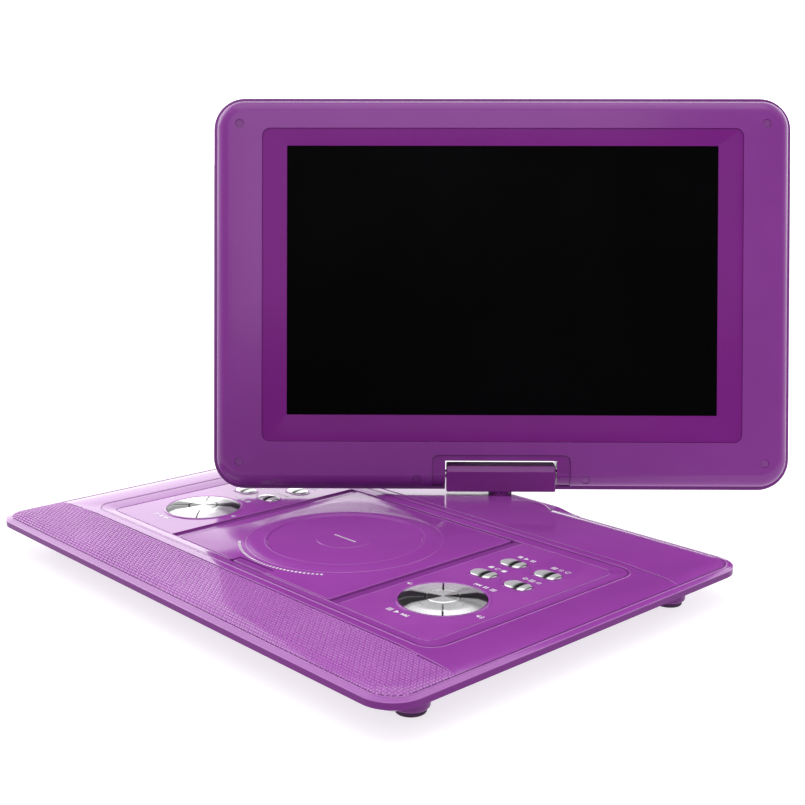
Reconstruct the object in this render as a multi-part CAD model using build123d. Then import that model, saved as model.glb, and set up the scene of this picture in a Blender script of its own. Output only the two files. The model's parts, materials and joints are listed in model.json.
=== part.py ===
from build123d import *
import math
import os

# Portable player with a swivelling screen. Millimetres, +Z up, +X to the user's right, +Y to the
# hinge. The origin is on the table, at the middle of the base. The screen stands swivelled and
# tilted back, as in use.

# ---- base: heights above the table ----
foot_height = 2.5
belly_z = foot_height
rim_low_z = 16.3
rim_top_z = 19.5
crease_z = 20.3
deck_z = 21.7
panel_z = 20.3
floor_low_z = 16.8
shell_wall = 1.8

# ---- base: plan ----
base_width = 343.0
base_depth = 250.0
base_corner = 17.0
rim_width = 3.2
dome_run = 11.0
belly_inset = 21.5
belly_corner = 10.0
hull_gap = 2.0
shelf_back = 130.0
shelf_half = 36.0
shelf_foot_half = 60.0
pod_half = 33.0

# ---- recessed control field ----
field_half = 143.8
field_front = -76.2
field_back = 68.5
field_corner = 10.0
floor_half = 133.8
floor_front = -68.8
floor_back = 62.6
panel_thick = 1.5
panel_gap = 0.35
panel_corner = 3.0
panel_inner = 71.5
channel_z = 19.3
palm_line_y = -82.5
palm_line_end_y = -85.5
back_line_y = 74.2
back_line_end_y = 70.5
line_bend_x = 130.0
line_half = 0.45
line_deep = 0.6

# ---- disc lid and drive ----
lid_half = 64.7
lid_front = -68.2
lid_back = 61.6
lid_low_z = 18.5
lid_gap = 0.5
lid_hinge_y = 56.0
lid_hinge_z = 17.0
ring_outer_r = 54.0
ring_inner_r = 42.0
ring_slope = 1.6
ring_rise = 0.8
hub_mark_r = 15.6
latch_half = 14.6
latch_pocket_back = -62.6
latch_pocket_front = -71.0
disc_y = -3.3
well_r = 61.5
tray_low_z = 13.2
tray_floor_z = 14.4
latch_floor_z = 14.0
tray_top_z = 17.8
disc_seat_z = 16.6
sled_rest_y = -29.0
sled_travel = 28.0
rod_x = 16.0
rod_z = 9.0
rod_r = 1.5
rack_module = 0.6
pinion_teeth = 14
rack_line_x = 22.0
rack_z0 = 5.4
rack_z1 = 7.2
pinion_r = rack_module * pinion_teeth / 2
pinion_x = rack_line_x + pinion_r
pinion_y = sled_rest_y
pinion_z0 = 5.2
pinion_z1 = 7.4

# ---- keys ----
key_travel = 0.8
key_gap = 0.3
key_low_z = 17.65
flange_top_z = 18.65
key_length = 15.5
key_width = 10.0
key_rise = 1.5
key_columns = (90.4, 113.8)
key_rows = (34.7, 12.4)
pad_x = 101.6
pad_y = -27.5
pad_r = 21.5
pad_flat_r = 17.2
pad_core_r = 8.4
pad_rise = 1.6
pad_split = 0.9
board_top_z = 16.0

# ---- hinge ----
pivot_y = 121.4
axis_z = 34.0
swivel_deg = 46.64
tilt_deg = 11.57
block_half = 33.2
block_low = -9.4
block_shoulder = 3.1
block_flat = 5.0
block_top = 6.1
block_depth = 7.5
post_r = 6.0
collar_r = 7.2
bush_r = 7.05
shaft_r = 2.5
running_gap = 0.05
notch_half = 33.9
notch_top = 8.2

# ---- screen housing, about the tilt axis: u across, v up, w to the viewer ----
housing_half = 176.0
housing_low = -9.6
housing_top = 229.2
housing_corner = 19.0
seam_w = -1.0
bezel_inset = 2.1
bezel_front_w = 8.3
bezel_round = 8.0
back_wall_w = -4.0
back_w = -10.5
back_slope_run = 22.0
frame_half = 145.5
frame_low = 19.6
frame_top = 209.6
frame_corner = 5.0
frame_edge_w = 7.8
window_half = 130.5
window_low = 35.9
window_top = 199.1
window_w = 6.9
glass_w = 6.4
cover_half = 42.0
cover_top = 11.7
cover_drop = 0.6
cap_r = 2.4
cap_sink = 0.3
cap_u = 159.3
cap_top_v = 212.4
cap_low_v = 7.2
cap_hinge_u = 51.3
cap_hinge_v = -3.2
cap_rows = ((cap_u, cap_top_v), (cap_u, cap_low_v), (cap_hinge_u, cap_hinge_v))
cap_places = [(side * u, v) for u, v in cap_rows for side in (1, -1)]

# ---- sockets and speakers ----
port_face_x = -163.0
port_front = -48.0
port_back = 60.0
port_low = 5.0
switch_y = -38.0
dc_y = -21.0
phone_y = -5.0
av_y = 9.0
usb_y = 23.0
card_y = 44.2
port_z = 10.6
plug_r = 1.8
cell_count = 3
cell_x0 = 76.0
cell_pitch = 23.4
speaker_x = 98.0
speaker_y = -88.0
speaker_r = 13.5
speaker_slot_pitch = 3.4

# ---- fixings ----
boss_rows = ((66, -92), (128, -90), (66, 88), (128, 90))
boss_places = [(side * x, y) for x, y in boss_rows for side in (1, -1)]
foot_x = 147.5
foot_y = 91.5
foot_r = 7.0
foot_boss_r = 8.6

os.makedirs("parts", exist_ok=True)


def save(name, shape):
    export_step(shape, f"parts/{name}.step")


def slab(width, depth, z0, z1, corner=0.0, x=0.0, y=0.0):
    """A block between two heights, with its upright corners rounded."""
    outline = RectangleRounded(width, depth, corner) if corner else Rectangle(width, depth)
    return Pos(x, y, z0) * extrude(outline, z1 - z0)


def span(x0, x1, y0, y1, z0, z1, corner=0.0):
    """The same block, given by its limits."""
    return slab(x1 - x0, y1 - y0, z0, z1, corner, (x0 + x1) / 2, (y0 + y1) / 2)


def disc(r, z0, z1, x=0.0, y=0.0):
    return Pos(x, y, z0) * extrude(Circle(r), z1 - z0)


def rod(r, start, end):
    """A round bar from one point to another."""
    a = Vector(*start)
    run = Vector(*end) - a
    return extrude(Plane(origin=a, z_dir=run.normalized()) * Circle(r), run.length)


def tapered(low, high):
    """A solid between two rounded rectangles: (width, depth, corner, y, z) each."""
    sections = [Pos(0, y, z) * RectangleRounded(w, d, c) for w, d, c, y, z in (low, high)]
    return loft(sections, ruled=True)


def group(*solids):
    """Several separate solids in one node."""
    return Compound(children=[s for shape in solids for s in shape.solids()])


def first_solid(shape):
    """The shape as one plain solid, or as a compound when it has several."""
    found = shape.solids()
    return found[0] if len(found) == 1 else Compound(children=list(found))


# ---------------------------------------------------------------- base shells


def dome():
    """Plate of the top shell: upright rim band, bevel up to the crease, then a soft crown."""
    band = slab(base_width, base_depth, rim_low_z, rim_top_z, base_corner)
    inner_w = base_width - 2 * rim_width
    inner_d = base_depth - 2 * rim_width
    inner_c = base_corner - rim_width
    low_outline = (base_width, base_depth, base_corner, 0, rim_top_z)
    bevel = tapered(low_outline, (inner_w, inner_d, inner_c, 0, crease_z))
    crown = []
    steps = 4
    rise = deck_z - crease_z
    for i in range(steps + 1):
        t = i / steps
        inset = dome_run * t
        height = rise * math.sin(t * math.pi / 2)
        outline = RectangleRounded(inner_w - 2 * inset, inner_d - 2 * inset, inner_c - inset)
        crown.append(Pos(0, 0, crease_z + height) * outline)
    return band + bevel + loft(crown)


def hinge_shelf():
    """The swelling of the base's back edge that carries the pivot."""
    foot_y0 = base_depth / 2 - 10
    edge = base_depth / 2 - 0.1
    with BuildSketch() as plan:
        with BuildLine():
            near = ((-shelf_foot_half, foot_y0), (shelf_foot_half, foot_y0))
            Polyline((-shelf_foot_half, edge), *near, (shelf_foot_half, edge))
            Spline((shelf_foot_half, edge), (shelf_half, shelf_back), tangents=((-1, 0), (-1, 0)))
            Line((shelf_half, shelf_back), (-shelf_half, shelf_back))
            Spline((-shelf_half, shelf_back), (-shelf_foot_half, edge), tangents=((-1, 0), (-1, 0)))
        make_face()
    block = Pos(0, 0, rim_low_z) * extrude(plan.sketch, rim_top_z + 0.4 - rim_low_z)
    with BuildSketch() as crown_plan:
        with BuildLine():
            c0 = shelf_back - 3.6
            Polyline((-44, c0 - 7), (-44, foot_y0 - 8), (44, foot_y0 - 8), (44, c0 - 7))
            Spline((44, c0 - 7), (26, c0), tangents=((-1, 0.4), (-1, 0)))
            Line((26, c0), (-26, c0))
            Spline((-26, c0), (-44, c0 - 7), tangents=((-1, 0), (-1, -0.4)))
        make_face()
    top = Pos(0, 0, rim_top_z) * extrude(crown_plan.sketch, deck_z - rim_top_z)
    edges = top.edges().group_by(Axis.Z)[-1].filter_by(lambda e: e.center().Y > foot_y0)
    top = fillet(edges, 1.8)
    return block + top


def creases():
    """Fine moulded lines across the deck, in front of and behind the control field."""
    cuts = []
    low = deck_z - line_deep
    for y, end_y in ((palm_line_y, palm_line_end_y), (back_line_y, back_line_end_y)):
        cuts.append(span(-line_bend_x, line_bend_x, y - line_half, y + line_half, low, deck_z + 1))
        for side in (-1, 1):
            a = (side * line_bend_x, y)
            b = (side * (base_width / 2 - rim_width - 0.5), end_y)
            angle = math.degrees(math.atan2(b[1] - a[1], b[0] - a[0]))
            length = math.dist(a, b)
            bar = Box(length, 2 * line_half, 2)
            middle = ((a[0] + b[0]) / 2, (a[1] + b[1]) / 2)
            cuts.append(Pos(middle[0], middle[1], low + 1) * Rot(0, 0, angle) * bar)
    return cuts


def palm_region():
    """Plan of the textured palm rest, as a block that reaches through the deck's skin."""
    x = base_width / 2 - rim_width - 0.4
    front = -base_depth / 2 + rim_width + 0.4
    with BuildSketch() as plan:
        with BuildLine():
            y1 = palm_line_y - line_half
            y2 = palm_line_end_y - line_half
            rear = ((x, y2), (line_bend_x, y1), (-line_bend_x, y1), (-x, y2))
            Polyline((x, front), *rear, (-x, front), (x, front))
        make_face()
        corners = [v for v in plan.vertices() if v.Y < front + 1]
        fillet(corners, base_corner - rim_width - 0.4)
    return Pos(0, 0, rim_top_z + 0.2) * extrude(plan.sketch, 6)


def base_top_shell(plate):
    """The visible top of the base, open over the disc well and under the key panels."""
    shell = plate
    field_mid = (field_front + field_back) / 2
    floor_mid = (floor_front + floor_back) / 2
    shell -= tapered(
        (2 * floor_half, floor_back - floor_front, field_corner - 4, floor_mid, panel_z),
        (2 * field_half + 1.4, field_back - field_front + 1.4, field_corner, field_mid, deck_z + 0.15),
    )
    ring = slab(base_width - 6, base_depth - 6, rim_low_z - 1, rim_top_z - 0.9, base_corner - 3)
    ring -= span(-field_half, field_half, field_front, field_back, rim_low_z - 2, deck_z)
    ring -= disc(12, rim_low_z - 2, deck_z, 0, pivot_y)
    shell -= ring
    below_field = (rim_low_z - 1, floor_low_z)
    shell -= span(-field_half - 1, field_half + 1, field_front - 1, field_back + 1, *below_field)
    for side in (-1, 1):
        inner, outer = sorted((side * panel_inner, side * floor_half))
        shell -= span(inner, outer, floor_front, floor_back, panel_z - panel_thick, deck_z, panel_corner)
        shell -= span(inner + 3.5, outer - 3.5, floor_front + 6, floor_back - 7, floor_low_z - 1, deck_z)
        near, far = sorted((side * lid_half, side * panel_inner))
        shell -= span(near, far, floor_front, floor_back, channel_z, deck_z)
        for x in (inner + 2.2, outer - 2.2):
            for y in (floor_front + 12, floor_back - 14):
                shell += disc(1.7, board_top_z, floor_low_z + 0.2, x, y)
        x0, x1 = sorted((side * 65.2, side * 69.5))
        shell += span(x0, x1, lid_hinge_y - 3.2, lid_hinge_y + 3.2, lid_hinge_z - 3, panel_z - panel_thick)
    through = (rim_low_z - 1, deck_z + 1)
    opening_half = lid_half + lid_gap
    shell -= span(-opening_half, opening_half, lid_front - 0.6, lid_back + 1.4, *through, 1.5)
    shell -= span(-latch_half, latch_half, latch_pocket_front, lid_front, *through, 1.2)
    for x, y in boss_places:
        shell += disc(3.6, rim_low_z, rim_top_z - 0.8, x, y)
        shell -= disc(1.2, rim_low_z - 1, rim_top_z - 1.4, x, y)
    shell -= rod(1.4 + running_gap, (-70, lid_hinge_y, lid_hinge_z), (70, lid_hinge_y, lid_hinge_z))
    shell -= disc(post_r + running_gap, rim_low_z - 1, deck_z + 1, 0, pivot_y)
    return first_solid(shell)


def hull(inset, lift):
    """The boat-shaped underside, as a solid that can be shrunk for its inside."""
    top_w = base_width - 2 * hull_gap - 2 * inset
    top_d = base_depth - 2 * hull_gap - 2 * inset
    low_w = base_width - 2 * belly_inset - 1.4 * inset
    low_d = base_depth - 2 * belly_inset - 1.4 * inset
    rim_outline = (top_w, top_d, base_corner - hull_gap - inset, 0, rim_low_z)
    return tapered((low_w, low_d, belly_corner, 0, belly_z + lift), rim_outline)



def base_bottom_shell():
    """The tub below the rim, with the hinge pod, the socket bay, the foot bosses and screw posts."""
    outer = hull(0, 0)
    outer += span(-pod_half, pod_half, 90, shelf_back, port_low, rim_low_z, 6)
    outer += span(port_face_x, -140, port_front, port_back, port_low, rim_low_z, 3)
    for x in (-foot_x, foot_x):
        for y in (-foot_y, foot_y):
            boss = disc(foot_boss_r, belly_z, belly_z + 6.5, x, y)
            outer += fillet(boss.edges().group_by(Axis.Z)[0], 1.2)
    inner = hull(shell_wall, shell_wall)
    inner += span(-pod_half + 2, pod_half - 2, 85, shelf_back - 1.4, port_low + 2, rim_low_z + 1)
    inner += span(port_face_x + 2, -139, port_front + 2, port_back - 2, port_low + 1.8, rim_low_z + 1)
    shell = outer - inner
    for x, y in boss_places:
        shell += disc(4.2, belly_z, rim_low_z, x, y)
        shell -= disc(3.1, belly_z - 1, belly_z + 2, x, y)
        shell -= disc(1.5, belly_z - 1, rim_low_z + 1, x, y)
    for x in (-foot_x, foot_x):
        for y in (-foot_y, foot_y):
            shell -= disc(foot_r + 0.05, belly_z - 1, belly_z + 0.8, x, y)
    for side in (-1, 1):
        for i in range(-3, 4):
            offset = speaker_slot_pitch * i
            half = math.sqrt(speaker_r**2 - offset**2) - 2
            x = side * speaker_x
            y = speaker_y + offset
            shell -= span(x - half, x + half, y - 0.75, y + 0.75, 0, belly_z + 3)
    wall = (port_face_x - 2, port_face_x + 3)
    shell -= rod(3.7, (wall[0], dc_y, port_z), (wall[1], dc_y, port_z))
    shell -= rod(3.2, (wall[0], phone_y, port_z), (wall[1], phone_y, port_z))
    shell -= rod(3.2, (wall[0], av_y, port_z), (wall[1], av_y, port_z))
    shell -= span(*wall, usb_y - 6.9, usb_y + 6.9, port_z - 3.2, port_z + 3.2)
    shell -= span(*wall, card_y - 12.6, card_y + 12.6, port_z - 1.6, port_z + 1.6)
    shell -= span(*wall, switch_y - 4.5, switch_y + 5.5, port_z - 1.7, port_z + 1.7)
    return first_solid(shell)


def make_base():
    plate = dome() + hinge_shelf()
    for cut in creases():
        plate -= cut
    save("palm_rest_panel", first_solid(plate & palm_region()))
    plate -= palm_region()
    save("base_top_shell", base_top_shell(plate))
    save("base_bottom_shell", base_bottom_shell())
    feet = [disc(foot_r, 0, belly_z + 0.8, x, y) for x in (-foot_x, foot_x) for y in (-foot_y, foot_y)]
    feet = [fillet(f.edges().group_by(Axis.Z)[0], 0.8) for f in feet]
    save("rubber_feet", group(*feet))
    save("base_screws", group(*[base_screw(x, y) for x, y in boss_places]))


def base_screw(x, y):
    """Self-tapping screw with a cross slot in its head."""
    head = disc(2.8, belly_z + 0.4, belly_z + 2, x, y)
    for angle in (0, 90):
        head -= Pos(x, y, belly_z + 0.4) * Rot(0, 0, angle) * Box(3.4, 0.7, 1.6)
    return first_solid(head + disc(1.15, belly_z + 2, rim_low_z + 1.2, x, y))


# ---------------------------------------------------------------- keys and panels


def oval(length, width, z0, z1, x, y):
    return Pos(x, y, z0) * extrude(SlotOverall(length, width), z1 - z0)


def key_panel(side):
    """Flat inlay with the key holes and a fine raised lip around each."""
    inner, outer = sorted((side * panel_inner, side * floor_half))
    gap = panel_gap
    low = panel_z - panel_thick
    corner = panel_corner - gap
    panel = span(inner + gap, outer - gap, floor_front + gap, floor_back - gap, low, panel_z, corner)
    lip = 0.3
    panel += disc(pad_r + 1.7, panel_z, panel_z + lip, side * pad_x, pad_y)
    for column in key_columns:
        for row in key_rows:
            place = (side * column, row)
            panel += oval(key_length + 2.6, key_width + 2.6, panel_z, panel_z + lip, *place)
            hole = (key_length + 2 * key_gap, key_width + 2 * key_gap)
            panel -= oval(*hole, low - 1, panel_z + 2, *place)
    panel -= disc(pad_r + key_gap, low - 1, panel_z + 2, side * pad_x, pad_y)
    return first_solid(panel)


def small_key(x, y):
    top = panel_z + key_rise
    cap = oval(key_length, key_width, flange_top_z, top, x, y)
    cap = fillet(cap.edges().group_by(Axis.Z)[-1], 1.1)
    return first_solid(cap + oval(key_length + 1.6, key_width + 1.6, key_low_z, flange_top_z, x, y))


def ring_sector(r0, r1, z0, z1, turn):
    """A quarter of a ring, narrowed by the split between the keys."""
    ring = extrude(Circle(r1) - Circle(r0), z1 - z0)
    reach = 2 * r1
    quarter = Pos(reach / 2, 0, 0) * Rot(0, 0, 45) * Rectangle(reach / math.sqrt(2), reach / math.sqrt(2))
    wedge = Pos(pad_split / math.sqrt(2), 0, 0) * extrude(quarter, z1 - z0)
    return Pos(0, 0, z0) * Rot(0, 0, turn) * (ring & wedge)


def pad_key(side, turn):
    """One of the four ring keys: dished face, bevelled rim, a flange that the panel holds down."""
    top = panel_z + pad_rise
    low = 19.2
    key = ring_sector(pad_core_r + 0.5, pad_r, low, top, turn)
    rim = ((pad_flat_r, top + 0.01), (pad_r + 1, top + 0.01), (pad_r + 1, top - 1.3), (pad_r, top - 1.2))
    key -= revolve(Plane.XZ * Polygon(*rim, align=None), Axis.Z)
    key += ring_sector(12, pad_r, flange_top_z, low, turn)
    key += ring_sector(12, pad_r + 1, key_low_z, flange_top_z, turn)
    return Pos(side * pad_x, pad_y, 0) * first_solid(key)


def pad_core(side):
    """Round key in the middle of the ring."""
    cap = disc(pad_core_r, key_low_z + 0.45, panel_z + pad_rise + 0.1)
    cap = fillet(cap.edges().group_by(Axis.Z)[-1], 0.8)
    cap += disc(pad_core_r + 1.1, key_low_z, key_low_z + 0.45)
    return Pos(side * pad_x, pad_y, 0) * first_solid(cap)


def key_board(side):
    """Circuit board under one panel, with a domed contact below each key."""
    inner, outer = sorted((side * panel_inner, side * floor_half))
    low = board_top_z - 1.6
    board = span(inner + 0.8, outer - 0.8, floor_front + 3, floor_back - 3, low, board_top_z, 2)
    places = [(side * c, r, 3.0) for c in key_columns for r in key_rows]
    places.append((side * pad_x, pad_y, 3.0))
    for turn in range(0, 360, 90):
        a = math.radians(turn)
        places.append((side * pad_x + 16.5 * math.cos(a), pad_y + 16.5 * math.sin(a), 3.0))
    for x, y, r in places:
        board += disc(r, board_top_z, board_top_z + 0.5, x, y)
        board += disc(r - 1.2, board_top_z + 0.5, board_top_z + 0.8, x, y)
    return first_solid(board)


def make_keys():
    for side, hand in ((-1, "left"), (1, "right")):
        save(f"{hand}_key_panel", key_panel(side))
        for c, column in enumerate(("inner", "outer")):
            for r, row in enumerate(("rear", "front")):
                save(f"{hand}_key_{row}_{column}", small_key(side * key_columns[c], key_rows[r]))
        for turn, name in ((0, "east"), (90, "north"), (180, "west"), (270, "south")):
            save(f"{hand}_pad_{name}", pad_key(side, turn))
        save(f"{hand}_pad_centre", pad_core(side))
    save("key_boards", group(key_board(-1), key_board(1)))


# ---------------------------------------------------------------- disc lid and drive


def disc_lid():
    """Lid with a raised ring and a small centre mark, a finger notch and two hinge arms."""
    lid = span(-lid_half, lid_half, lid_front, lid_back, lid_low_z, panel_z, 1.2)
    low = panel_z - 0.2
    high = panel_z + ring_rise
    outside = ((ring_outer_r, low), (ring_outer_r, panel_z), (ring_outer_r - ring_slope, high))
    inside = ((ring_inner_r + ring_slope - 0.6, high), (ring_inner_r, panel_z), (ring_inner_r, low))
    section = Polygon(*outside, *inside, align=None)
    lid += Pos(0, disc_y, 0) * revolve(Plane.XZ * section, Axis.Z)
    mark = disc(hub_mark_r, low, panel_z + 0.4, 0, disc_y)
    lid += chamfer(mark.edges().group_by(Axis.Z)[-1], 0.3)
    lid -= span(-latch_half, latch_half, lid_front - 1, latch_pocket_back, lid_low_z - 1, deck_z, 1.2)
    for side in (-1, 1):
        x0, x1 = sorted((side * 57, side * 61.5))
        lid += span(x0, x1, lid_hinge_y - 2.4, lid_hinge_y + 2.4, lid_hinge_z, lid_low_z + 0.2)
        lid += rod(2.4, (x0, lid_hinge_y, lid_hinge_z), (x1, lid_hinge_y, lid_hinge_z))
        lid -= rod(1.4, (x0 - 2, lid_hinge_y, lid_hinge_z), (x1 + 2, lid_hinge_y, lid_hinge_z))
        c0, c1 = sorted((side * 16.5, side * 20.5))
        lid += span(c0, c1, lid_front + 1.2, lid_front + 2.8, lid_low_z - 3, lid_low_z + 0.2)
    return first_solid(lid)


def lid_pins():
    pins = []
    for side in (-1, 1):
        start = (side * 57.2, lid_hinge_y, lid_hinge_z)
        end = (side * 68.4, lid_hinge_y, lid_hinge_z)
        pins.append(rod(1.4, start, end))
    return group(*pins)


def lid_latch():
    """Push latch in the finger notch: a ribbed thumb pad on two runners."""
    pad = span(-13.8, 13.8, -68.4, -63.2, 17.2, 20.0, 0.8)
    pad = chamfer(pad.edges().group_by(Axis.Z)[-1], 0.5)
    for i in range(-5, 6):
        pad -= span(2.2 * i - 0.35, 2.2 * i + 0.35, -67.4, -64.6, 19.7, 21)
    for side in (-1, 1):
        x0, x1 = sorted((side * 9, side * 12))
        pad += span(x0, x1, -67.4, -64.4, latch_floor_z + 0.1, 17.2)
    return first_solid(pad)


def disc_tray():
    """Well for the disc, with a centre hole, a slot for the lens and reliefs for the lid's arms."""
    half = lid_half + 0.1
    tray = span(-half, half, lid_front - 0.2, lid_back + 1.0, tray_low_z, tray_top_z, 1)
    tray -= disc(well_r, tray_floor_z, deck_z, 0, disc_y)
    tray -= disc(15, 0, deck_z, 0, disc_y)
    tray -= span(-10, 10, -62.4, disc_y - 16, 0, deck_z, 4)
    tray -= span(-half - 1, half + 1, 52.5, 70, 15.8, deck_z)
    tray -= span(-half - 1, half + 1, 58.6, 70, latch_floor_z, deck_z)
    for side in (-1, 1):
        x0, x1 = sorted((side * 56.3, side * 70))
        tray -= span(x0, x1, 51.5, 70, tray_low_z - 1, deck_z)
    tray -= span(-latch_half - 7, latch_half + 7, -72, lid_front + 5.6, latch_floor_z, deck_z)
    return first_solid(tray)


def deck_chassis():
    """Pressed steel plate under the well, with lugs for the guide rods."""
    plate = span(-48, 48, -76, 34, 11.0, 12.0, 4)
    plate -= span(-20.4, 20.4, -71.5, -17.2, 10, 13, 1)
    plate -= disc(5, 10, 13, 0, disc_y)
    for side in (-1, 1):
        for y0, y1 in ((-75.4, -72.2), (-17.0, -14.4)):
            x0, x1 = sorted((side * (rod_x - 3), side * (rod_x + 3)))
            plate += span(x0, x1, y0, y1, rod_z - 3, 11.2)
        plate -= rod(rod_r, (side * rod_x, -80, rod_z), (side * rod_x, -10, rod_z))
        for y in (-60, 20):
            plate += disc(3, 4.4, 11.2, side * 42, y)
            plate += disc(3, 11.8, tray_low_z, side * 42, y)
    return first_solid(plate)


def tooth_outline(count, pitch_r, module):
    """Gear outline: straight-flanked teeth, thin enough to run freely."""
    points = []
    for i in range(count):
        middle = 360 / count * (i + 0.5)
        for r, half in ((pitch_r - 1.3 * module, 6.6), (pitch_r + 0.85 * module, 1.9)):
            points.append((r, middle - half, half))
    outline = []
    for i in range(count):
        root_r, low, half = points[2 * i]
        tip_r, tip_low, tip_half = points[2 * i + 1]
        rising = ((root_r, low), (tip_r, tip_low))
        falling = ((tip_r, tip_low + 2 * tip_half), (root_r, low + 2 * half))
        for r, a in rising + falling:
            outline.append((r * math.cos(math.radians(a)), r * math.sin(math.radians(a))))
    return Polygon(*outline, align=None)



def feed_pinion():
    """Brass pinion on the feed motor's shaft; a gap faces the rack at rest."""
    outline = tooth_outline(pinion_teeth, pinion_r, rack_module)
    gear = Pos(0, 0, pinion_z0) * extrude(outline, pinion_z1 - pinion_z0)
    gear += disc(1.0, pinion_z1 - 0.5, 10.6)
    return Pos(pinion_x, pinion_y, 0) * Rot(0, 0, 180) * first_solid(gear)


def feed_motor():
    can = disc(6.2, 7.7, 11.0, pinion_x, pinion_y)
    return first_solid(can - disc(1.0 + running_gap, 7, 10.8, pinion_x, pinion_y))


def pickup_sled():
    """Optical carriage on two rods, with a toothed rack along its side."""
    y = sled_rest_y
    sled = span(-19.4, 19.4, y - 10.8, y + 10.8, 6.0, 12.6, 2)
    sled += span(-7, 7, y - 5, y + 5, 12.6, 14.2, 2)
    sled -= disc(3.2, 12.8, 15, 0, y + 1)
    for side in (-1, 1):
        sled -= rod(rod_r + running_gap, (side * rod_x, y - 20, rod_z), (side * rod_x, y + 20, rod_z))
    pitch = math.pi * rack_module
    back_x = rack_line_x - 1.3 * rack_module
    rack_y0 = sled_rest_y - 3
    rack_y1 = sled_rest_y + sled_travel + 4
    sled += span(19.3, back_x, rack_y0, rack_y1, rack_z0, rack_z1)
    first = math.ceil((rack_y0 + 0.8 - sled_rest_y) / pitch)
    last = math.floor((rack_y1 - 0.8 - sled_rest_y) / pitch)
    tip_x = rack_line_x + 0.85 * rack_module
    for i in range(first, last + 1):
        y0 = sled_rest_y + i * pitch
        near = ((back_x - 0.2, y0 - 0.62), (tip_x, y0 - 0.16))
        far = ((tip_x, y0 + 0.16), (back_x - 0.2, y0 + 0.62))
        tooth = Polygon(*near, *far, align=None)
        sled += Pos(0, 0, rack_z0) * extrude(tooth, rack_z1 - rack_z0)
    return first_solid(sled)


def pickup_lens():
    lens = disc(2.9, 12.8, 14.4, 0, sled_rest_y + 1)
    return first_solid(fillet(lens.edges().group_by(Axis.Z)[-1], 0.7))


def spindle_hub():
    """Turntable, shaft and the boss that centres the disc."""
    hub = disc(13.4, disc_seat_z - 1.4, disc_seat_z)
    boss = disc(7.2, disc_seat_z, disc_seat_z + 1.5)
    boss = chamfer(boss.edges().group_by(Axis.Z)[-1], 0.5)
    for turn in (0, 120, 240):
        boss += Rot(0, 0, turn) * Pos(6.6, 0, disc_seat_z + 0.75) * Sphere(0.8)
    hub += boss + disc(4.4, 12.4, disc_seat_z - 1.4) + disc(1.0, 6.4, 12.5)
    return Pos(0, disc_y, 0) * first_solid(hub)


def spindle_motor():
    can = disc(12.2, 5.6, 11.0, 0, disc_y)
    can += disc(3.4, 11.0, 12.1, 0, disc_y)
    return first_solid(can - disc(1.0 + running_gap, 6.2, 13, 0, disc_y))


def make_drive():
    save("disc_lid", disc_lid())
    save("lid_pins", lid_pins())
    save("lid_latch", lid_latch())
    save("disc_tray", disc_tray())
    save("deck_chassis", deck_chassis())
    rods = [rod(rod_r - 0.01, (s * rod_x, -75.2, rod_z), (s * rod_x, -14.6, rod_z)) for s in (-1, 1)]
    save("guide_rods", group(*rods))
    save("feed_pinion", feed_pinion())
    save("feed_motor", feed_motor())
    save("pickup_sled", pickup_sled())
    save("pickup_lens", pickup_lens())
    save("spindle_hub", spindle_hub())
    save("spindle_motor", spindle_motor())


# ---------------------------------------------------------------- electronics and sockets


def main_board():
    """Circuit board with its chips, capacitors and connectors."""
    board = span(-146, -72, -58, 80, 7.0, 8.6, 2)
    parts = [board]
    parts.append(span(-118, -96, 6, 28, 8.6, 10.2))
    parts.append(span(-92, -80, 30, 48, 8.6, 9.8))
    parts.append(span(-136, -124, -40, -28, 8.6, 9.8))
    for y in (-50, -38, -26):
        parts.append(disc(3.2, 8.6, 13.6, -84, y))
    for y in (58, 68):
        parts.append(span(-130, -112, y, y + 5, 8.6, 12.6))
    return group(*parts)


def battery_pack():
    """Flat cells side by side in a shrink sleeve, with their protection board at one end."""
    pack = []
    for i in range(cell_count):
        x0 = cell_x0 + cell_pitch * i
        pack.append(span(x0, x0 + cell_pitch - 0.2, -52, 56, 4.6, 12.6, 3))
    pack.append(span(78, 144, 56.2, 62, 5.4, 11.4))
    return group(*pack)


def speaker(side):
    x = side * speaker_x
    frame = disc(speaker_r, 4.4, 6.0, x, speaker_y) - disc(speaker_r - 2.4, 4, 5.2, x, speaker_y)
    return first_solid(frame + disc(8.5, 6.0, 10.5, x, speaker_y) + disc(3.4, 4.9, 6.0, x, speaker_y))


def dc_socket():
    """Barrel power inlet with its centre pin."""
    body = span(port_face_x + 2.2, port_face_x + 14, dc_y - 5, dc_y + 5, port_z - 3.7, port_z + 4.6)
    body += rod(3.5, (port_face_x + 0.2, dc_y, port_z), (port_face_x + 3, dc_y, port_z))
    body -= rod(2.85, (port_face_x - 1, dc_y, port_z), (port_face_x + 10, dc_y, port_z))
    pin = rod(1.0, (port_face_x + 1.2, dc_y, port_z), (port_face_x + 10.5, dc_y, port_z))
    return first_solid(body + pin)


def round_socket(y):
    """Socket for a 3.5 mm plug."""
    body = span(port_face_x + 2.2, port_face_x + 15, y - 3.8, y + 3.8, port_z - 3.8, port_z + 3.4)
    body += rod(3.0, (port_face_x + 0.2, y, port_z), (port_face_x + 3, y, port_z))
    bore = rod(plug_r, (port_face_x - 1, y, port_z), (port_face_x + 13.2, y, port_z))
    return first_solid(body - bore)


def usb_socket():
    face = port_face_x
    shell = span(face + 0.3, face + 14, usb_y - 6.6, usb_y + 6.6, port_z - 2.9, port_z + 2.9)
    shell -= span(face - 1, face + 12, usb_y - 6.2, usb_y + 6.2, port_z - 2.5, port_z + 2.5)
    tongue = span(face + 1.5, face + 12.5, usb_y - 5.6, usb_y + 5.6, port_z + 0.2, port_z + 2.0)
    return first_solid(shell + tongue)


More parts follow.
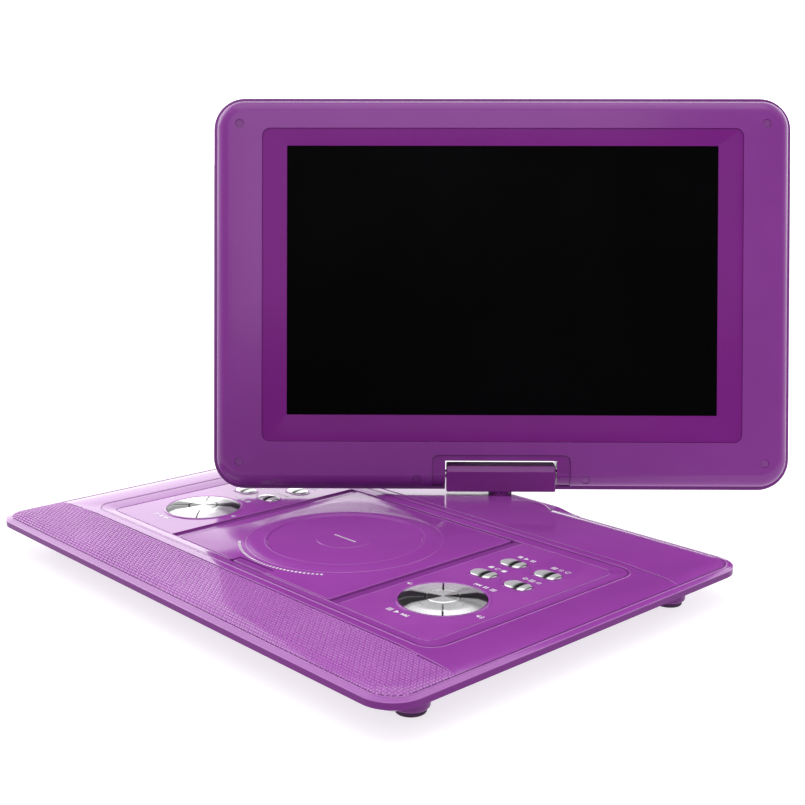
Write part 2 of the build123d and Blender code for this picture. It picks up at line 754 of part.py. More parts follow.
def card_socket():
    face = port_face_x
    body = span(face + 2.2, face + 24, card_y - 13.4, card_y + 13.4, port_z - 1.9, port_z + 1.9)
    body -= span(face - 1, face + 22, card_y - 12.2, card_y + 12.2, port_z - 1.2, port_z + 1.2)
    return first_solid(body)


def power_switch():
    """Sliding knob of the power switch."""
    face = port_face_x
    knob = span(face - 1.4, face + 2.4, switch_y - 4.1, switch_y - 0.1, port_z - 1.4, port_z + 1.4)
    knob = fillet(knob.edges().group_by(Axis.X)[0], 0.5)
    plate = span(face + 2.4, face + 4.2, switch_y - 6, switch_y + 2, port_z - 2.6, port_z + 2.6)
    return first_solid(knob + plate)


def make_electronics():
    save("main_board", main_board())
    save("battery_pack", battery_pack())
    save("speakers", group(speaker(-1), speaker(1)))
    save("dc_socket", dc_socket())
    save("audio_sockets", group(round_socket(phone_y), round_socket(av_y)))
    save("usb_socket", usb_socket())
    save("card_socket", card_socket())
    save("power_switch", power_switch())


# ---------------------------------------------------------------- hinge and screen
# These are built upright, facing -Y, about the tilt axis, and then turned into place.


def facing(shape):
    """From the swivel's own frame to the row's frame: the block turns but doesn't tilt."""
    return Pos(0, pivot_y, axis_z) * Rot(0, 0, swivel_deg) * shape


def on_screen(shape):
    """From the screen's own frame to the row's frame."""
    return facing(Rot(-tilt_deg, 0, 0) * shape)


def upright(sketch, w0, w1):
    """Extrudes a (u, v) outline between two depths, w being the distance to the viewer."""
    face = Plane.XZ * sketch
    return Pos(0, -w0, 0) * extrude(face, w1 - w0)


def plate_uv(u0, u1, v0, v1, w0, w1, corner=0.0):
    size = (u1 - u0, v1 - v0)
    outline = RectangleRounded(*size, corner) if corner else Rectangle(*size)
    return upright(Pos((u0 + u1) / 2, (v0 + v1) / 2) * outline, w0, w1)


def button_uv(r, u, v, w0, w1):
    return upright(Pos(u, v) * Circle(r), w0, w1)


def swivel_block():
    """The moulded block that the screen hinges on, hollowed from below."""
    front = ((block_depth, block_low), (block_depth, block_shoulder), (block_flat, block_top))
    back = ((-block_flat, block_top), (-block_depth, block_shoulder), (-block_depth, block_low))
    body = extrude(Plane.YZ * Polygon(*front, *back, align=None), block_half, both=True)
    ends = body.edges().filter_by(Axis.X, reverse=True)
    ends = ends.filter_by(lambda e: abs(e.center().X) > block_half - 0.1)
    body = chamfer(ends, 0.6)
    body -= rod(shaft_r + running_gap, (-50, 0, 0), (50, 0, 0))
    body -= Pos(0, 0, block_low - 0.1) * extrude(Circle(post_r - 1 + running_gap), 5.1)
    return facing(first_solid(body))


def swivel_post():
    """Pivot post with its collar; the stem runs in the bush and is held by a clip ring."""
    low = 7.4 - axis_z
    post = disc(post_r, low, deck_z - axis_z + 0.06)
    post += disc(collar_r, deck_z - axis_z + 0.06, block_low)
    for i in range(12):
        a = math.radians(30 * i)
        x = 1.02 * collar_r * math.cos(a)
        y = 1.02 * collar_r * math.sin(a)
        post -= disc(0.7, deck_z - axis_z + 0.5, block_low + 0.1, x, y)
    post += disc(post_r - 1, block_low, block_low + 4.8)
    post -= disc(2.4, low - 1, block_low + 3.5)
    return facing(first_solid(post))


def pivot_bush():
    bush = disc(bush_r, 9.0, rim_low_z - 0.1, 0, pivot_y)
    return first_solid(bush - disc(post_r + running_gap, 5, 20, 0, pivot_y))


def tilt_shaft():
    return facing(first_solid(rod(shaft_r, (-46, 0, 0), (46, 0, 0))))


def hinge_brackets():
    """Steel leaves inside the housing that turn on the shaft's ends."""
    leaves = []
    for side in (-1, 1):
        u0, u1 = sorted((side * 37.6, side * 43.4))
        leaf = plate_uv(u0, u1, -4.0, 24, -4.0, 3.6)
        leaf -= rod(shaft_r + running_gap, (u0 - 1, 0, 0), (u1 + 1, 0, 0))
        leaves.append(first_solid(leaf))
    return on_screen(group(*leaves))


def bezel_solid(inset, front):
    """The front shell's outer form, shrunk by inset all round."""
    edge = bezel_inset + inset
    half = housing_half - edge
    corner = housing_corner - edge
    body = plate_uv(-half, half, housing_low + edge, housing_top - edge, seam_w, front, corner)
    front_edges = body.edges().group_by(Axis.Y)[0]
    return fillet(front_edges, bezel_round - inset)


def shaft_room():
    """Space around the notch that stays solid, so that the notch has walls."""
    return plate_uv(-notch_half - 2, notch_half + 2, -30, notch_top + 2, -20, 20)


def notch():
    cut = plate_uv(-notch_half, notch_half, -30, notch_top, -20, 20)
    return cut + rod(shaft_r + 0.4, (-38, 0, 0), (38, 0, 0))


def screen_bezel():
    shell = bezel_solid(0, bezel_front_w)
    shell -= bezel_solid(2.0, bezel_front_w - 2.0) - shaft_room()
    shell -= plate_uv(-frame_half, frame_half, frame_low, frame_top, 0, 12, frame_corner)
    shell -= plate_uv(-cover_half, cover_half, -30, cover_top, seam_w - 1, 12, 4)
    for u, v in cap_places:
        boss = button_uv(4.2, u, v, seam_w + 0.2, bezel_front_w - 1.9)
        shell += boss & bezel_solid(0.6, bezel_front_w - 0.6)
        shell -= button_uv(cap_r + 0.12, u, v, bezel_front_w - 3.3, 12)
        shell -= button_uv(1.2, u, v, seam_w - 1, 12)
    return on_screen(first_solid(shell))


def hinge_cover():
    """Sunk U-shaped cover round the notch, which hides the shaft's ends."""
    cover = bezel_solid(cover_drop, bezel_front_w - cover_drop)
    cover -= bezel_solid(2.2, bezel_front_w - 2.2) - shaft_room()
    half = cover_half - 0.15
    cover &= plate_uv(-half, half, -30, cover_top - 0.15, seam_w - 1, 12, 4)
    cover -= notch()
    return on_screen(first_solid(cover))


def screen_frame():
    """Glossy inner frame that slopes from the bezel down to the picture."""
    gap = 0.15
    half = frame_half - gap
    corner = frame_corner - gap
    frame = plate_uv(-half, half, frame_low + gap, frame_top - gap, 5.0, frame_edge_w, corner)
    middle = (frame_low + frame_top) / 2
    window_mid = (window_low + window_top) / 2
    edge_outline = RectangleRounded(2 * frame_half - 2, frame_top - frame_low - 2, frame_corner - 1)
    outer = Plane.XZ.offset(frame_edge_w + 0.01) * Pos(0, middle) * edge_outline
    window_outline = RectangleRounded(2 * window_half, window_top - window_low, 0.6)
    inner = Plane.XZ.offset(window_w) * Pos(0, window_mid) * window_outline
    frame -= loft([outer, inner], ruled=True)
    frame -= plate_uv(-window_half, window_half, window_low, window_top, 0, 12, 0.6)
    return on_screen(first_solid(frame))


def lcd_panel():
    module = plate_uv(-136, 136, 30.5, 204.5, 0.2, 4.9, 1)
    half = window_half - 0.1
    module += plate_uv(-half, half, window_low + 0.1, window_top - 0.1, 4.8, glass_w, 0.5)
    return on_screen(first_solid(module))


def back_solid(inset):
    """The rear shell's outer form: a short upright wall, then slopes to a flat back."""
    side = housing_half - inset
    low = housing_low + inset
    top = housing_top - inset
    mid = (low + top) / 2
    corner = housing_corner - inset
    wall = plate_uv(-side, side, low, top, back_wall_w, seam_w, corner)
    run = back_slope_run
    rim = Plane.XZ.offset(back_wall_w) * Pos(0, mid) * RectangleRounded(2 * side, top - low, corner)
    flat_outline = RectangleRounded(2 * side - 2 * run, top - low - 2 * run, corner - 6)
    flat = Plane.XZ.offset(back_w + inset) * Pos(0, mid) * flat_outline
    return wall + loft([rim, flat], ruled=True)


def screen_back():
    shell = back_solid(0)
    shell -= back_solid(2.0) - shaft_room()
    for u, v in cap_places:
        shell += button_uv(4.0, u, v, back_w, seam_w) & back_solid(0.6)
        shell -= button_uv(1.2, u, v, back_wall_w, seam_w + 1)
    for i in range(9):
        v = 150 + 5 * i
        shell -= plate_uv(-70, 70, v, v + 1.8, back_w - 1, back_w + 3, 0.85)
    shell -= plate_uv(-60, 60, 60, 110, back_w - 1, back_w + 0.5, 6)
    shell -= notch()
    return on_screen(first_solid(shell))


def screen_board():
    """Panel driver board with its chips, behind the picture."""
    board = plate_uv(-80, 60, 60, 120, -3.4, -1.8, 2)
    parts = [board, plate_uv(-40, -18, 80, 102, -4.6, -3.4), plate_uv(10, 34, 70, 84, -5.2, -3.4)]
    parts.append(plate_uv(-70, -50, 64, 69, -6.4, -3.4))
    return on_screen(group(*parts))


def backlight():
    """Light guide and its reflector, clamped behind the picture."""
    return on_screen(first_solid(plate_uv(-134, 134, 32.5, 202.5, -1.6, 0.1, 1)))


def cap_solid(u, v):
    """Plug that hides one screw, cut to the bezel's own surface."""
    plug = button_uv(cap_r, u, v, bezel_front_w - 3.2, 12)
    return first_solid(plug & bezel_solid(cap_sink, bezel_front_w - cap_sink))


def make_screen():
    save("swivel_block", swivel_block())
    save("swivel_post", swivel_post())
    save("tilt_shaft", tilt_shaft())
    save("pivot_bush", pivot_bush())
    save("hinge_brackets", hinge_brackets())
    save("screen_bezel", screen_bezel())
    save("hinge_cover", hinge_cover())
    save("screen_frame", screen_frame())
    save("lcd_panel", lcd_panel())
    save("backlight", backlight())
    save("screen_back", screen_back())
    save("screen_board", screen_board())
    save("screen_caps", on_screen(group(*[cap_solid(u, v) for u, v in cap_places])))


make_base()
make_keys()
make_drive()
make_electronics()
make_screen()
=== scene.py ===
import json
import math
import bpy
import bmesh
from mathutils import Matrix, Vector
from mathutils.bvhtree import BVHTree


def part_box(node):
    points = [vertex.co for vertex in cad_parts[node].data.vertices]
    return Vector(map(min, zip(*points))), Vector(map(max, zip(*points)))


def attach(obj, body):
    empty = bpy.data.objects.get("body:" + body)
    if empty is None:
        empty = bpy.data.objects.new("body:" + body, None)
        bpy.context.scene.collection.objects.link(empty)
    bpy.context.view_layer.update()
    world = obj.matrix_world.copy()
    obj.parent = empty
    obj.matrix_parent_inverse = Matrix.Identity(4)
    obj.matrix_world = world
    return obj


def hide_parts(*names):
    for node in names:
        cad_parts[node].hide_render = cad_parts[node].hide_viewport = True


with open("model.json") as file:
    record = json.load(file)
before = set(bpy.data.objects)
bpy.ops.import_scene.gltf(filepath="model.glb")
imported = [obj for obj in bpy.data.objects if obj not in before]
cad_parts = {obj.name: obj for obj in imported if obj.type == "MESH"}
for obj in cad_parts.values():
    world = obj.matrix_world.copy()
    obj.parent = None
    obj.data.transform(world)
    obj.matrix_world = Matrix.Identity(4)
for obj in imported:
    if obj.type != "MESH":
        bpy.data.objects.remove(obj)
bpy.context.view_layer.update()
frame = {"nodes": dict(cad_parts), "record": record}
nodes = frame["nodes"]
mm = 0.001
print("frame loaded:", len(nodes), "nodes")

# Colours, in linear light.
colours = {
    "shell": (0.305, 0.055, 0.360),
    "shellDeep": (0.290, 0.050, 0.343),
    "panel": (0.355, 0.072, 0.410),
    "valley": (0.330, 0.066, 0.385),
    "valleyDeep": (0.290, 0.050, 0.343),
    # Painted sheen: the grain's pillows are painted lighter than the palm rest, on top of their real gloss.
    "grain": (0.470, 0.150, 0.530),
    "grainDeep": (0.430, 0.120, 0.490),
    # Painted shadow: near-black strips that stand in for the shade in grooves.
    "groove": (0.060, 0.010, 0.075),
    "grooveDeep": (0.045, 0.008, 0.058),
    # Painted shade: the bezel is the shell's plastic, painted darker because it stands upright and gets less
    # light.
    "bezel": (0.218, 0.036, 0.260),
    "bezelDeep": (0.207, 0.033, 0.248),
    "innerFrame": (0.178, 0.015, 0.204),
    "innerFrameDeep": (0.168, 0.014, 0.193),
    # Painted shade for the rim's upright band.
    "rim": (0.165, 0.026, 0.197),
    # Painted highlight: beads are the shell's plastic painted lighter, on top of the real gloss on their curves.
    "bead": (0.420, 0.125, 0.480),
    "beadDeep": (0.380, 0.100, 0.440),
    "tub": (0.205, 0.032, 0.243),
    "tubDeep": (0.190, 0.029, 0.226),
    "hinge": (0.190, 0.020, 0.218),
    "chrome": (0.78, 0.78, 0.80),
    "legend": (0.86, 0.84, 0.88),
    "black": (0.012, 0.012, 0.014),
    "steel": (0.56, 0.56, 0.58),
    "brass": (0.72, 0.50, 0.20),
    "board": (0.018, 0.13, 0.05),
    "cell": (0.03, 0.12, 0.36),
    "rubber": (0.060, 0.014, 0.072),
    "milk": (0.84, 0.84, 0.86),
    "lens": (0.10, 0.12, 0.32),
}


def startMaterial(name):
    mat = bpy.data.materials.new(name)
    mat.use_nodes = True
    tree = mat.node_tree
    tree.nodes.clear()
    out = tree.nodes.new("ShaderNodeOutputMaterial")
    shader = tree.nodes.new("ShaderNodeBsdfPrincipled")
    tree.links.new(shader.outputs["BSDF"], out.inputs["Surface"])
    return mat, tree, shader


def objectNoise(tree, scale, detail=3.0, rough=0.5):
    coord = tree.nodes.new("ShaderNodeTexCoord")
    noise = tree.nodes.new("ShaderNodeTexNoise")
    noise.inputs["Scale"].default_value = scale
    noise.inputs["Detail"].default_value = detail
    noise.inputs["Roughness"].default_value = rough
    tree.links.new(coord.outputs["Object"], noise.inputs["Vector"])
    return noise.outputs["Fac"]


def spread(tree, value, low, high, fromLow=0.35, fromHigh=0.65):
    node = tree.nodes.new("ShaderNodeMapRange")
    node.inputs["From Min"].default_value = fromLow
    node.inputs["From Max"].default_value = fromHigh
    node.inputs["To Min"].default_value = low
    node.inputs["To Max"].default_value = high
    tree.links.new(value, node.inputs["Value"])
    return node.outputs["Result"]


def blendColour(tree, value, low, high):  # a slow drift between two near shades
    ramp = tree.nodes.new("ShaderNodeValToRGB")
    ramp.color_ramp.elements[0].position = 0.36
    ramp.color_ramp.elements[1].position = 0.64
    ramp.color_ramp.elements[0].color = (*low, 1)
    ramp.color_ramp.elements[1].color = (*high, 1)
    tree.links.new(value, ramp.inputs["Fac"])
    return ramp.outputs["Color"]


def roundedNormal(tree, radius):
    node = tree.nodes.new("ShaderNodeBevel")
    node.samples = 6
    node.inputs["Radius"].default_value = radius
    return node.outputs["Normal"]


def addBump(tree, shader, height, strength, distance, normal=None):
    bump = tree.nodes.new("ShaderNodeBump")
    bump.inputs["Strength"].default_value = strength
    bump.inputs["Distance"].default_value = distance
    tree.links.new(height, bump.inputs["Height"])
    if normal is not None:
        tree.links.new(normal, bump.inputs["Normal"])
    tree.links.new(bump.outputs["Normal"], shader.inputs["Normal"])


# Injection-moulded gloss: slight pigment clouding, a faint orange peel and fine dust in the gloss.
def moulded(name, colour, deep, rough=0.12, roughTo=0.19, coat=0.35, edge=0.25 * mm, peel=0.05, shine=0.5):
    mat, tree, shader = startMaterial(name)
    shader.inputs["IOR"].default_value = 1.5
    shader.inputs["Specular IOR Level"].default_value = shine
    shader.inputs["Coat Weight"].default_value = coat
    shader.inputs["Coat Roughness"].default_value = 0.04
    tree.links.new(blendColour(tree, objectNoise(tree, 26.0), deep, colour), shader.inputs["Base Color"])
    tree.links.new(spread(tree, objectNoise(tree, 420.0, 4.0, 0.6), rough, roughTo), shader.inputs["Roughness"])
    addBump(tree, shader, objectNoise(tree, 260.0, 2.0), peel, 0.05 * mm, roundedNormal(tree, edge))
    return mat


def plated(name, colour, rough=0.045, roughTo=0.11, edge=0.3 * mm):
    mat, tree, shader = startMaterial(name)
    shader.inputs["Metallic"].default_value = 1.0
    deep = tuple(c * 0.93 for c in colour)
    tree.links.new(blendColour(tree, objectNoise(tree, 60.0), deep, colour), shader.inputs["Base Color"])
    haze = spread(tree, objectNoise(tree, 700.0, 5.0, 0.65), rough, roughTo)
    tree.links.new(haze, shader.inputs["Roughness"])
    addBump(tree, shader, objectNoise(tree, 500.0, 2.0), 0.03, 0.03 * mm, roundedNormal(tree, edge))
    return mat


def calc(tree, operation, a, b):
    node = tree.nodes.new("ShaderNodeMath")
    node.operation = operation
    for i, value in enumerate((a, b)):
        if isinstance(value, (int, float)):
            node.inputs[i].default_value = value
        else:
            tree.links.new(value, node.inputs[i])
    return node.outputs[0]


# A row of greys along a value from 0 to 1, given as (place, brightness) pairs.
def stops(tree, value, tones):
    ramp = tree.nodes.new("ShaderNodeValToRGB")
    marks = ramp.color_ramp.elements
    while len(marks) < len(tones):
        marks.new(0.5)
    for mark, (place, tone) in zip(marks, tones):
        mark.position = place
        mark.color = (tone, tone, tone * 1.01, 1)
    tree.links.new(value, ramp.inputs["Fac"])
    return ramp.outputs["Color"]


# The turned face of the ring keys: painted reflection, broad and fine rays of light and dark about the middle,
# painted into the base colour.
paintedRayReflection = {
    "axis": math.radians(47.3),
    "rays": 9.0,
    "share": 0.28,
    "reach": 1.3,
    "metal": 0.55,
    "tones": ((0.0, 0.98), (0.45, 0.90), (0.62, 0.66), (0.74, 0.42), (0.79, 0.05), (1.0, 0.02)),
}
paintedDomeBands = {
    "metal": 0.5,
    "tones": ((0.0, 0.70), (0.10, 0.95), (0.44, 0.90), (0.54, 0.40), (0.58, 0.04), (0.70, 0.04), (0.74, 0.92),
              (0.9, 0.9), (0.94, 0.12), (1.0, 0.6)),
}


# Polished, domed keys: painted reflection, bands of light and dark tone along each key's length, from its own
# attribute.
def domeChrome(name):
    mat, tree, shader = startMaterial(name)
    shader.inputs["Metallic"].default_value = paintedDomeBands["metal"]
    along = tree.nodes.new("ShaderNodeAttribute")
    along.attribute_name = "along"
    tree.links.new(stops(tree, along.outputs["Fac"], paintedDomeBands["tones"]), shader.inputs["Base Color"])
    tree.links.new(spread(tree, objectNoise(tree, 700.0, 5.0, 0.65), 0.06, 0.12), shader.inputs["Roughness"])
    addBump(tree, shader, objectNoise(tree, 500.0, 2.0), 0.03, 0.03 * mm, roundedNormal(tree, 0.3 * mm))
    return mat


# Spun chrome: circular turning marks around a key group's own middle, with painted reflection rays in the base
# colour.
def spunWithPaintedRays(name, middle):
    mat, tree, shader = startMaterial(name)
    shader.inputs["Metallic"].default_value = paintedRayReflection["metal"]
    shader.inputs["Anisotropic"].default_value = 0.86
    coord = tree.nodes.new("ShaderNodeTexCoord")
    away = tree.nodes.new("ShaderNodeVectorMath")
    away.operation = "SUBTRACT"
    away.inputs[1].default_value = (middle[0] * mm, middle[1] * mm, 0)
    tree.links.new(coord.outputs["Object"], away.inputs[0])
    around = tree.nodes.new("ShaderNodeVectorMath")
    around.operation = "CROSS_PRODUCT"
    around.inputs[0].default_value = (0, 0, 1)
    tree.links.new(away.outputs["Vector"], around.inputs[1])
    tree.links.new(around.outputs["Vector"], shader.inputs["Tangent"])
    rings = tree.nodes.new("ShaderNodeTexWave")
    rings.wave_type = "RINGS"
    rings.rings_direction = "Z"
    rings.inputs["Scale"].default_value = 900.0
    rings.inputs["Distortion"].default_value = 1.5
    tree.links.new(away.outputs["Vector"], rings.inputs["Vector"])
    parts = tree.nodes.new("ShaderNodeSeparateXYZ")
    tree.links.new(away.outputs["Vector"], parts.inputs[0])
    # Painted reflection: light and dark rays set into the base colour by angle about the middle.
    angle = calc(tree, "ARCTAN2", parts.outputs["Y"], parts.outputs["X"])
    broad = calc(tree, "COSINE", calc(tree, "MULTIPLY", calc(tree, "SUBTRACT", angle, paintedRayReflection["axis"]), 2.0), 0.0)
    fine = calc(tree, "SINE", calc(tree, "MULTIPLY", angle, paintedRayReflection["rays"]), 0.0)
    mixed = calc(tree, "ADD", broad, calc(tree, "MULTIPLY", fine, paintedRayReflection["share"]))
    rays = spread(tree, mixed, 0.0, 1.0, -paintedRayReflection["reach"], paintedRayReflection["reach"])
    tree.links.new(stops(tree, rays, paintedRayReflection["tones"]), shader.inputs["Base Color"])
    tree.links.new(spread(tree, rings.outputs["Fac"], 0.20, 0.28, 0.0, 1.0), shader.inputs["Roughness"])
    tree.links.new(roundedNormal(tree, 0.25 * mm), shader.inputs["Normal"])
    return mat


# Pressed or drawn steel, with a grain along one axis.
def drawn(name, colour, along=(1, 30, 30), rough=0.24, roughTo=0.42):
    mat, tree, shader = startMaterial(name)
    shader.inputs["Metallic"].default_value = 1.0
    coord = tree.nodes.new("ShaderNodeTexCoord")
    mapping = tree.nodes.new("ShaderNodeMapping")
    mapping.inputs["Scale"].default_value = along
    noise = tree.nodes.new("ShaderNodeTexNoise")
    noise.inputs["Scale"].default_value = 90.0
    noise.inputs["Detail"].default_value = 5.0
    tree.links.new(coord.outputs["Object"], mapping.inputs["Vector"])
    tree.links.new(mapping.outputs["Vector"], noise.inputs["Vector"])
    deep = tuple(c * 0.8 for c in colour)
    tree.links.new(blendColour(tree, noise.outputs["Fac"], deep, colour), shader.inputs["Base Color"])
    tree.links.new(spread(tree, noise.outputs["Fac"], rough, roughTo), shader.inputs["Roughness"])
    addBump(tree, shader, noise.outputs["Fac"], 0.12, 0.05 * mm, roundedNormal(tree, 0.12 * mm))
    return mat


def satin(name, colour, rough=0.45, roughTo=0.6, grain=900.0, depth=0.25):
    mat, tree, shader = startMaterial(name)
    shader.inputs["IOR"].default_value = 1.48
    deep = tuple(c * 0.8 for c in colour)
    tree.links.new(blendColour(tree, objectNoise(tree, 70.0), deep, colour), shader.inputs["Base Color"])
    tree.links.new(spread(tree, objectNoise(tree, grain, 3.0), rough, roughTo), shader.inputs["Roughness"])
    addBump(tree, shader, objectNoise(tree, grain, 2.0), depth, 0.06 * mm, roundedNormal(tree, 0.15 * mm))
    return mat


# Solder mask with fine copper tracks showing through.
def circuitBoard(name):
    mat, tree, shader = startMaterial(name)
    coord = tree.nodes.new("ShaderNodeTexCoord")
    bricks = tree.nodes.new("ShaderNodeTexBrick")
    bricks.inputs["Scale"].default_value = 260.0
    bricks.inputs["Mortar Size"].default_value = 0.05
    bricks.inputs["Color1"].default_value = (*colours["board"], 1)
    bricks.inputs["Color2"].default_value = (*(c * 0.72 for c in colours["board"]), 1)
    bricks.inputs["Mortar"].default_value = (0.10, 0.30, 0.09, 1)
    tree.links.new(coord.outputs["Object"], bricks.inputs["Vector"])
    tree.links.new(bricks.outputs["Color"], shader.inputs["Base Color"])
    tree.links.new(spread(tree, objectNoise(tree, 500.0), 0.22, 0.36), shader.inputs["Roughness"])
    addBump(tree, shader, bricks.outputs["Fac"], 0.3, 0.05 * mm)
    return mat


# Laminated picture panel: almost black, with a faint blue sheen and a soft anti-glare haze.
def pictureGlass(name):
    mat, tree, shader = startMaterial(name)
    shader.inputs["IOR"].default_value = 1.45
    shader.inputs["Specular IOR Level"].default_value = 0.015
    low = (0.0008, 0.0008, 0.0010)
    high = (0.0016, 0.0015, 0.0019)
    tree.links.new(blendColour(tree, objectNoise(tree, 9.0), low, high), shader.inputs["Base Color"])
    tree.links.new(spread(tree, objectNoise(tree, 900.0, 4.0), 0.24, 0.32), shader.inputs["Roughness"])
    addBump(tree, shader, objectNoise(tree, 2600.0, 2.0), 0.04, 0.01 * mm)
    return mat


finishes = {
    "shellGloss": moulded("shellGloss", colours["shell"], colours["shellDeep"]),
    "lidGloss": moulded("lidGloss", colours["shell"], colours["shellDeep"], 0.16, 0.24, 0.04, shine=0.22),
    "panelGloss": moulded("panelGloss", colours["panel"], colours["shell"], 0.13, 0.20, 0.3),
    "bezelGloss": moulded("bezelGloss", colours["bezel"], colours["bezelDeep"], 0.16, 0.24, 0.08, shine=0.28),
    "innerGloss": moulded("innerGloss", colours["innerFrame"], colours["innerFrameDeep"], 0.14, 0.20, 0.02,
                          0.2 * mm, 0.03, 0.08),
    "hingeGloss": moulded("hingeGloss", colours["hinge"], colours["innerFrame"], 0.16, 0.24, 0.1, 0.5 * mm,
                          shine=0.3),
    "tubGloss": moulded("tubGloss", colours["tub"], colours["tubDeep"], 0.18, 0.26, 0.08, shine=0.25),
    "coverGloss": moulded("coverGloss", colours["bezelDeep"], colours["innerFrame"], 0.14, 0.22, 0.1,
                          shine=0.3),
    "domeChrome": domeChrome("domeChrome"),
    "keyChrome": plated("keyChrome", colours["chrome"]),
    "spunLeft": spunWithPaintedRays("spunLeft", (-101.6, -27.5)),
    "spunRight": spunWithPaintedRays("spunRight", (101.6, -27.5)),
    "valleyGloss": moulded("valleyGloss", colours["valley"], colours["valleyDeep"], 0.16, 0.24, 0.3),
    "grainGloss": moulded("grainGloss", colours["grain"], colours["grainDeep"], 0.08, 0.13, 0.6, 0.05 * mm, 0.0),
    "grooveGloss": moulded("grooveGloss", colours["groove"], colours["grooveDeep"], 0.30, 0.42, 0.0,
                           0.05 * mm, 0.0, 0.1),
    "beadGloss": moulded("beadGloss", colours["bead"], colours["beadDeep"], 0.10, 0.14, 0.6, 0.05 * mm, 0.0),
    "legendInk": satin("legendInk", colours["legend"], 0.5, 0.62, 1500.0, 0.08),
    "pictureGlass": pictureGlass("pictureGlass"),
    "capSatin": satin("capSatin", colours["bezelDeep"], 0.34, 0.46, 1200.0, 0.12),
    "blackSatin": satin("blackSatin", colours["black"], 0.40, 0.55),
    "pressedSteel": drawn("pressedSteel", colours["steel"]),
    "turnedSteel": drawn("turnedSteel", colours["steel"], (30, 30, 1), 0.16, 0.28),
    "turnedBrass": drawn("turnedBrass", colours["brass"], (30, 30, 2), 0.20, 0.32),
    "circuitBoard": circuitBoard("circuitBoard"),
    "cellWrap": moulded("cellWrap", colours["cell"], (0.02, 0.08, 0.27), 0.22, 0.34, 0.1, 0.4 * mm, 0.2),
    "footRubber": satin("footRubber", colours["rubber"], 0.66, 0.82, 1300.0, 0.4),
    "milkGuide": moulded("milkGuide", colours["milk"], (0.78, 0.79, 0.81), 0.2, 0.3, 0.1),
    "coatedLens": moulded("coatedLens", colours["lens"], (0.05, 0.06, 0.20), 0.02, 0.04, 1.0, 0.2 * mm, 0.0),
}


# Painted shade: the rim's upright band is painted a shade deeper than the deck above it, with less specular and
# no coat.
def paintShadeBelow(finish, height, colour):
    tree = finishes[finish].node_tree
    shader = next(n for n in tree.nodes if n.type == "BSDF_PRINCIPLED")
    above = shader.inputs["Base Color"].links[0].from_socket
    coord = tree.nodes.new("ShaderNodeTexCoord")
    parts = tree.nodes.new("ShaderNodeSeparateXYZ")
    tree.links.new(coord.outputs["Object"], parts.inputs[0])
    mix = tree.nodes.new("ShaderNodeMix")
    mix.data_type = "RGBA"
    mix.inputs["A"].default_value = (*colour, 1)
    low = height - 0.1 * mm
    high = height + 0.1 * mm
    tree.links.new(spread(tree, parts.outputs["Z"], 0.0, 1.0, low, high), mix.inputs["Factor"])
    tree.links.new(above, mix.inputs["B"])
    tree.links.new(mix.outputs["Result"], shader.inputs["Base Color"])
    for socket, least in (("Specular IOR Level", 0.10), ("Coat Weight", 0.0)):
        full = shader.inputs[socket].default_value
        tree.links.new(spread(tree, parts.outputs["Z"], least, full, low, high), shader.inputs[socket])


paintShadeBelow("shellGloss", 19.3 * mm, colours["rim"])
print("materials made:", len(finishes))

ovalParts = ("key_rear_inner", "key_rear_outer", "key_front_inner", "key_front_outer")
padParts = ("pad_east", "pad_north", "pad_west", "pad_south", "pad_centre")
ovals = [f"{hand}_{part}" for hand in ("left", "right") for part in ovalParts]
leftPads = [f"left_{part}" for part in padParts]
rightPads = [f"right_{part}" for part in padParts]
finishOf = {
    "shellGloss": ["base_top_shell"],
    "tubGloss": ["base_bottom_shell"],
    "panelGloss": ["left_key_panel", "right_key_panel"],
    "lidGloss": ["disc_lid", "lid_latch"],
    "valleyGloss": ["palm_rest_panel"],
    "bezelGloss": ["screen_bezel", "screen_back"],
    "coverGloss": ["hinge_cover"],
    "innerGloss": ["screen_frame"],
    "hingeGloss": ["swivel_block", "swivel_post"],
    "keyChrome": ovals,
    "spunLeft": leftPads,
    "spunRight": rightPads,
    "pictureGlass": ["lcd_panel"],
    "capSatin": ["screen_caps"],
    "blackSatin": ["disc_tray", "pickup_sled", "power_switch", "audio_sockets", "dc_socket", "spindle_hub",
                   "speakers", "pivot_bush"],
    "pressedSteel": ["deck_chassis", "usb_socket", "card_socket", "hinge_brackets", "spindle_motor",
                     "feed_motor"],
    "turnedSteel": ["guide_rods", "base_screws", "tilt_shaft", "lid_pins"],
    "turnedBrass": ["feed_pinion"],
    "circuitBoard": ["main_board", "key_boards", "screen_board"],
    "cellWrap": ["battery_pack"],
    "footRubber": ["rubber_feet"],
    "milkGuide": ["backlight"],
    "coatedLens": ["pickup_lens"],
}


# A CAD node as a welded copy with smooth shading, so that its curves catch light evenly.
def smoothCopy(name, node, angle=28.0):
    source = nodes[node]
    mesh = source.data.copy()
    mesh.name = name
    bm = bmesh.new()
    bm.from_mesh(mesh)
    bmesh.ops.remove_doubles(bm, verts=bm.verts, dist=2e-6)
    for face in bm.faces:
        face.smooth = True
    for edge in bm.edges:
        turn = edge.calc_face_angle(math.pi)
        edge.smooth = turn < math.radians(angle)
    bm.to_mesh(mesh)
    bm.free()
    if "custom_normal" in mesh.attributes:
        mesh.attributes.remove(mesh.attributes["custom_normal"])
    copy = bpy.data.objects.new(name, mesh)
    bpy.context.scene.collection.objects.link(copy)
    return copy


def setFinish(obj, finish):
    mats = obj.data.materials
    if len(mats) == 0:
        mats.append(finishes[finish])
    for i in range(len(mats)):
        mats[i] = finishes[finish]


bodyOf = {}
for bodyName, members in frame["record"]["behaviour"]["bodies"].items():
    for member in members:
        bodyOf[member] = bodyName

nodeFinish = {}
for finish, members in finishOf.items():
    for member in members:
        nodeFinish[member] = finish
for member, obj in nodes.items():
    setFinish(obj, nodeFinish[member])
missing = set(nodes) - set(nodeFinish)
print("nodes without a finish:", sorted(missing))


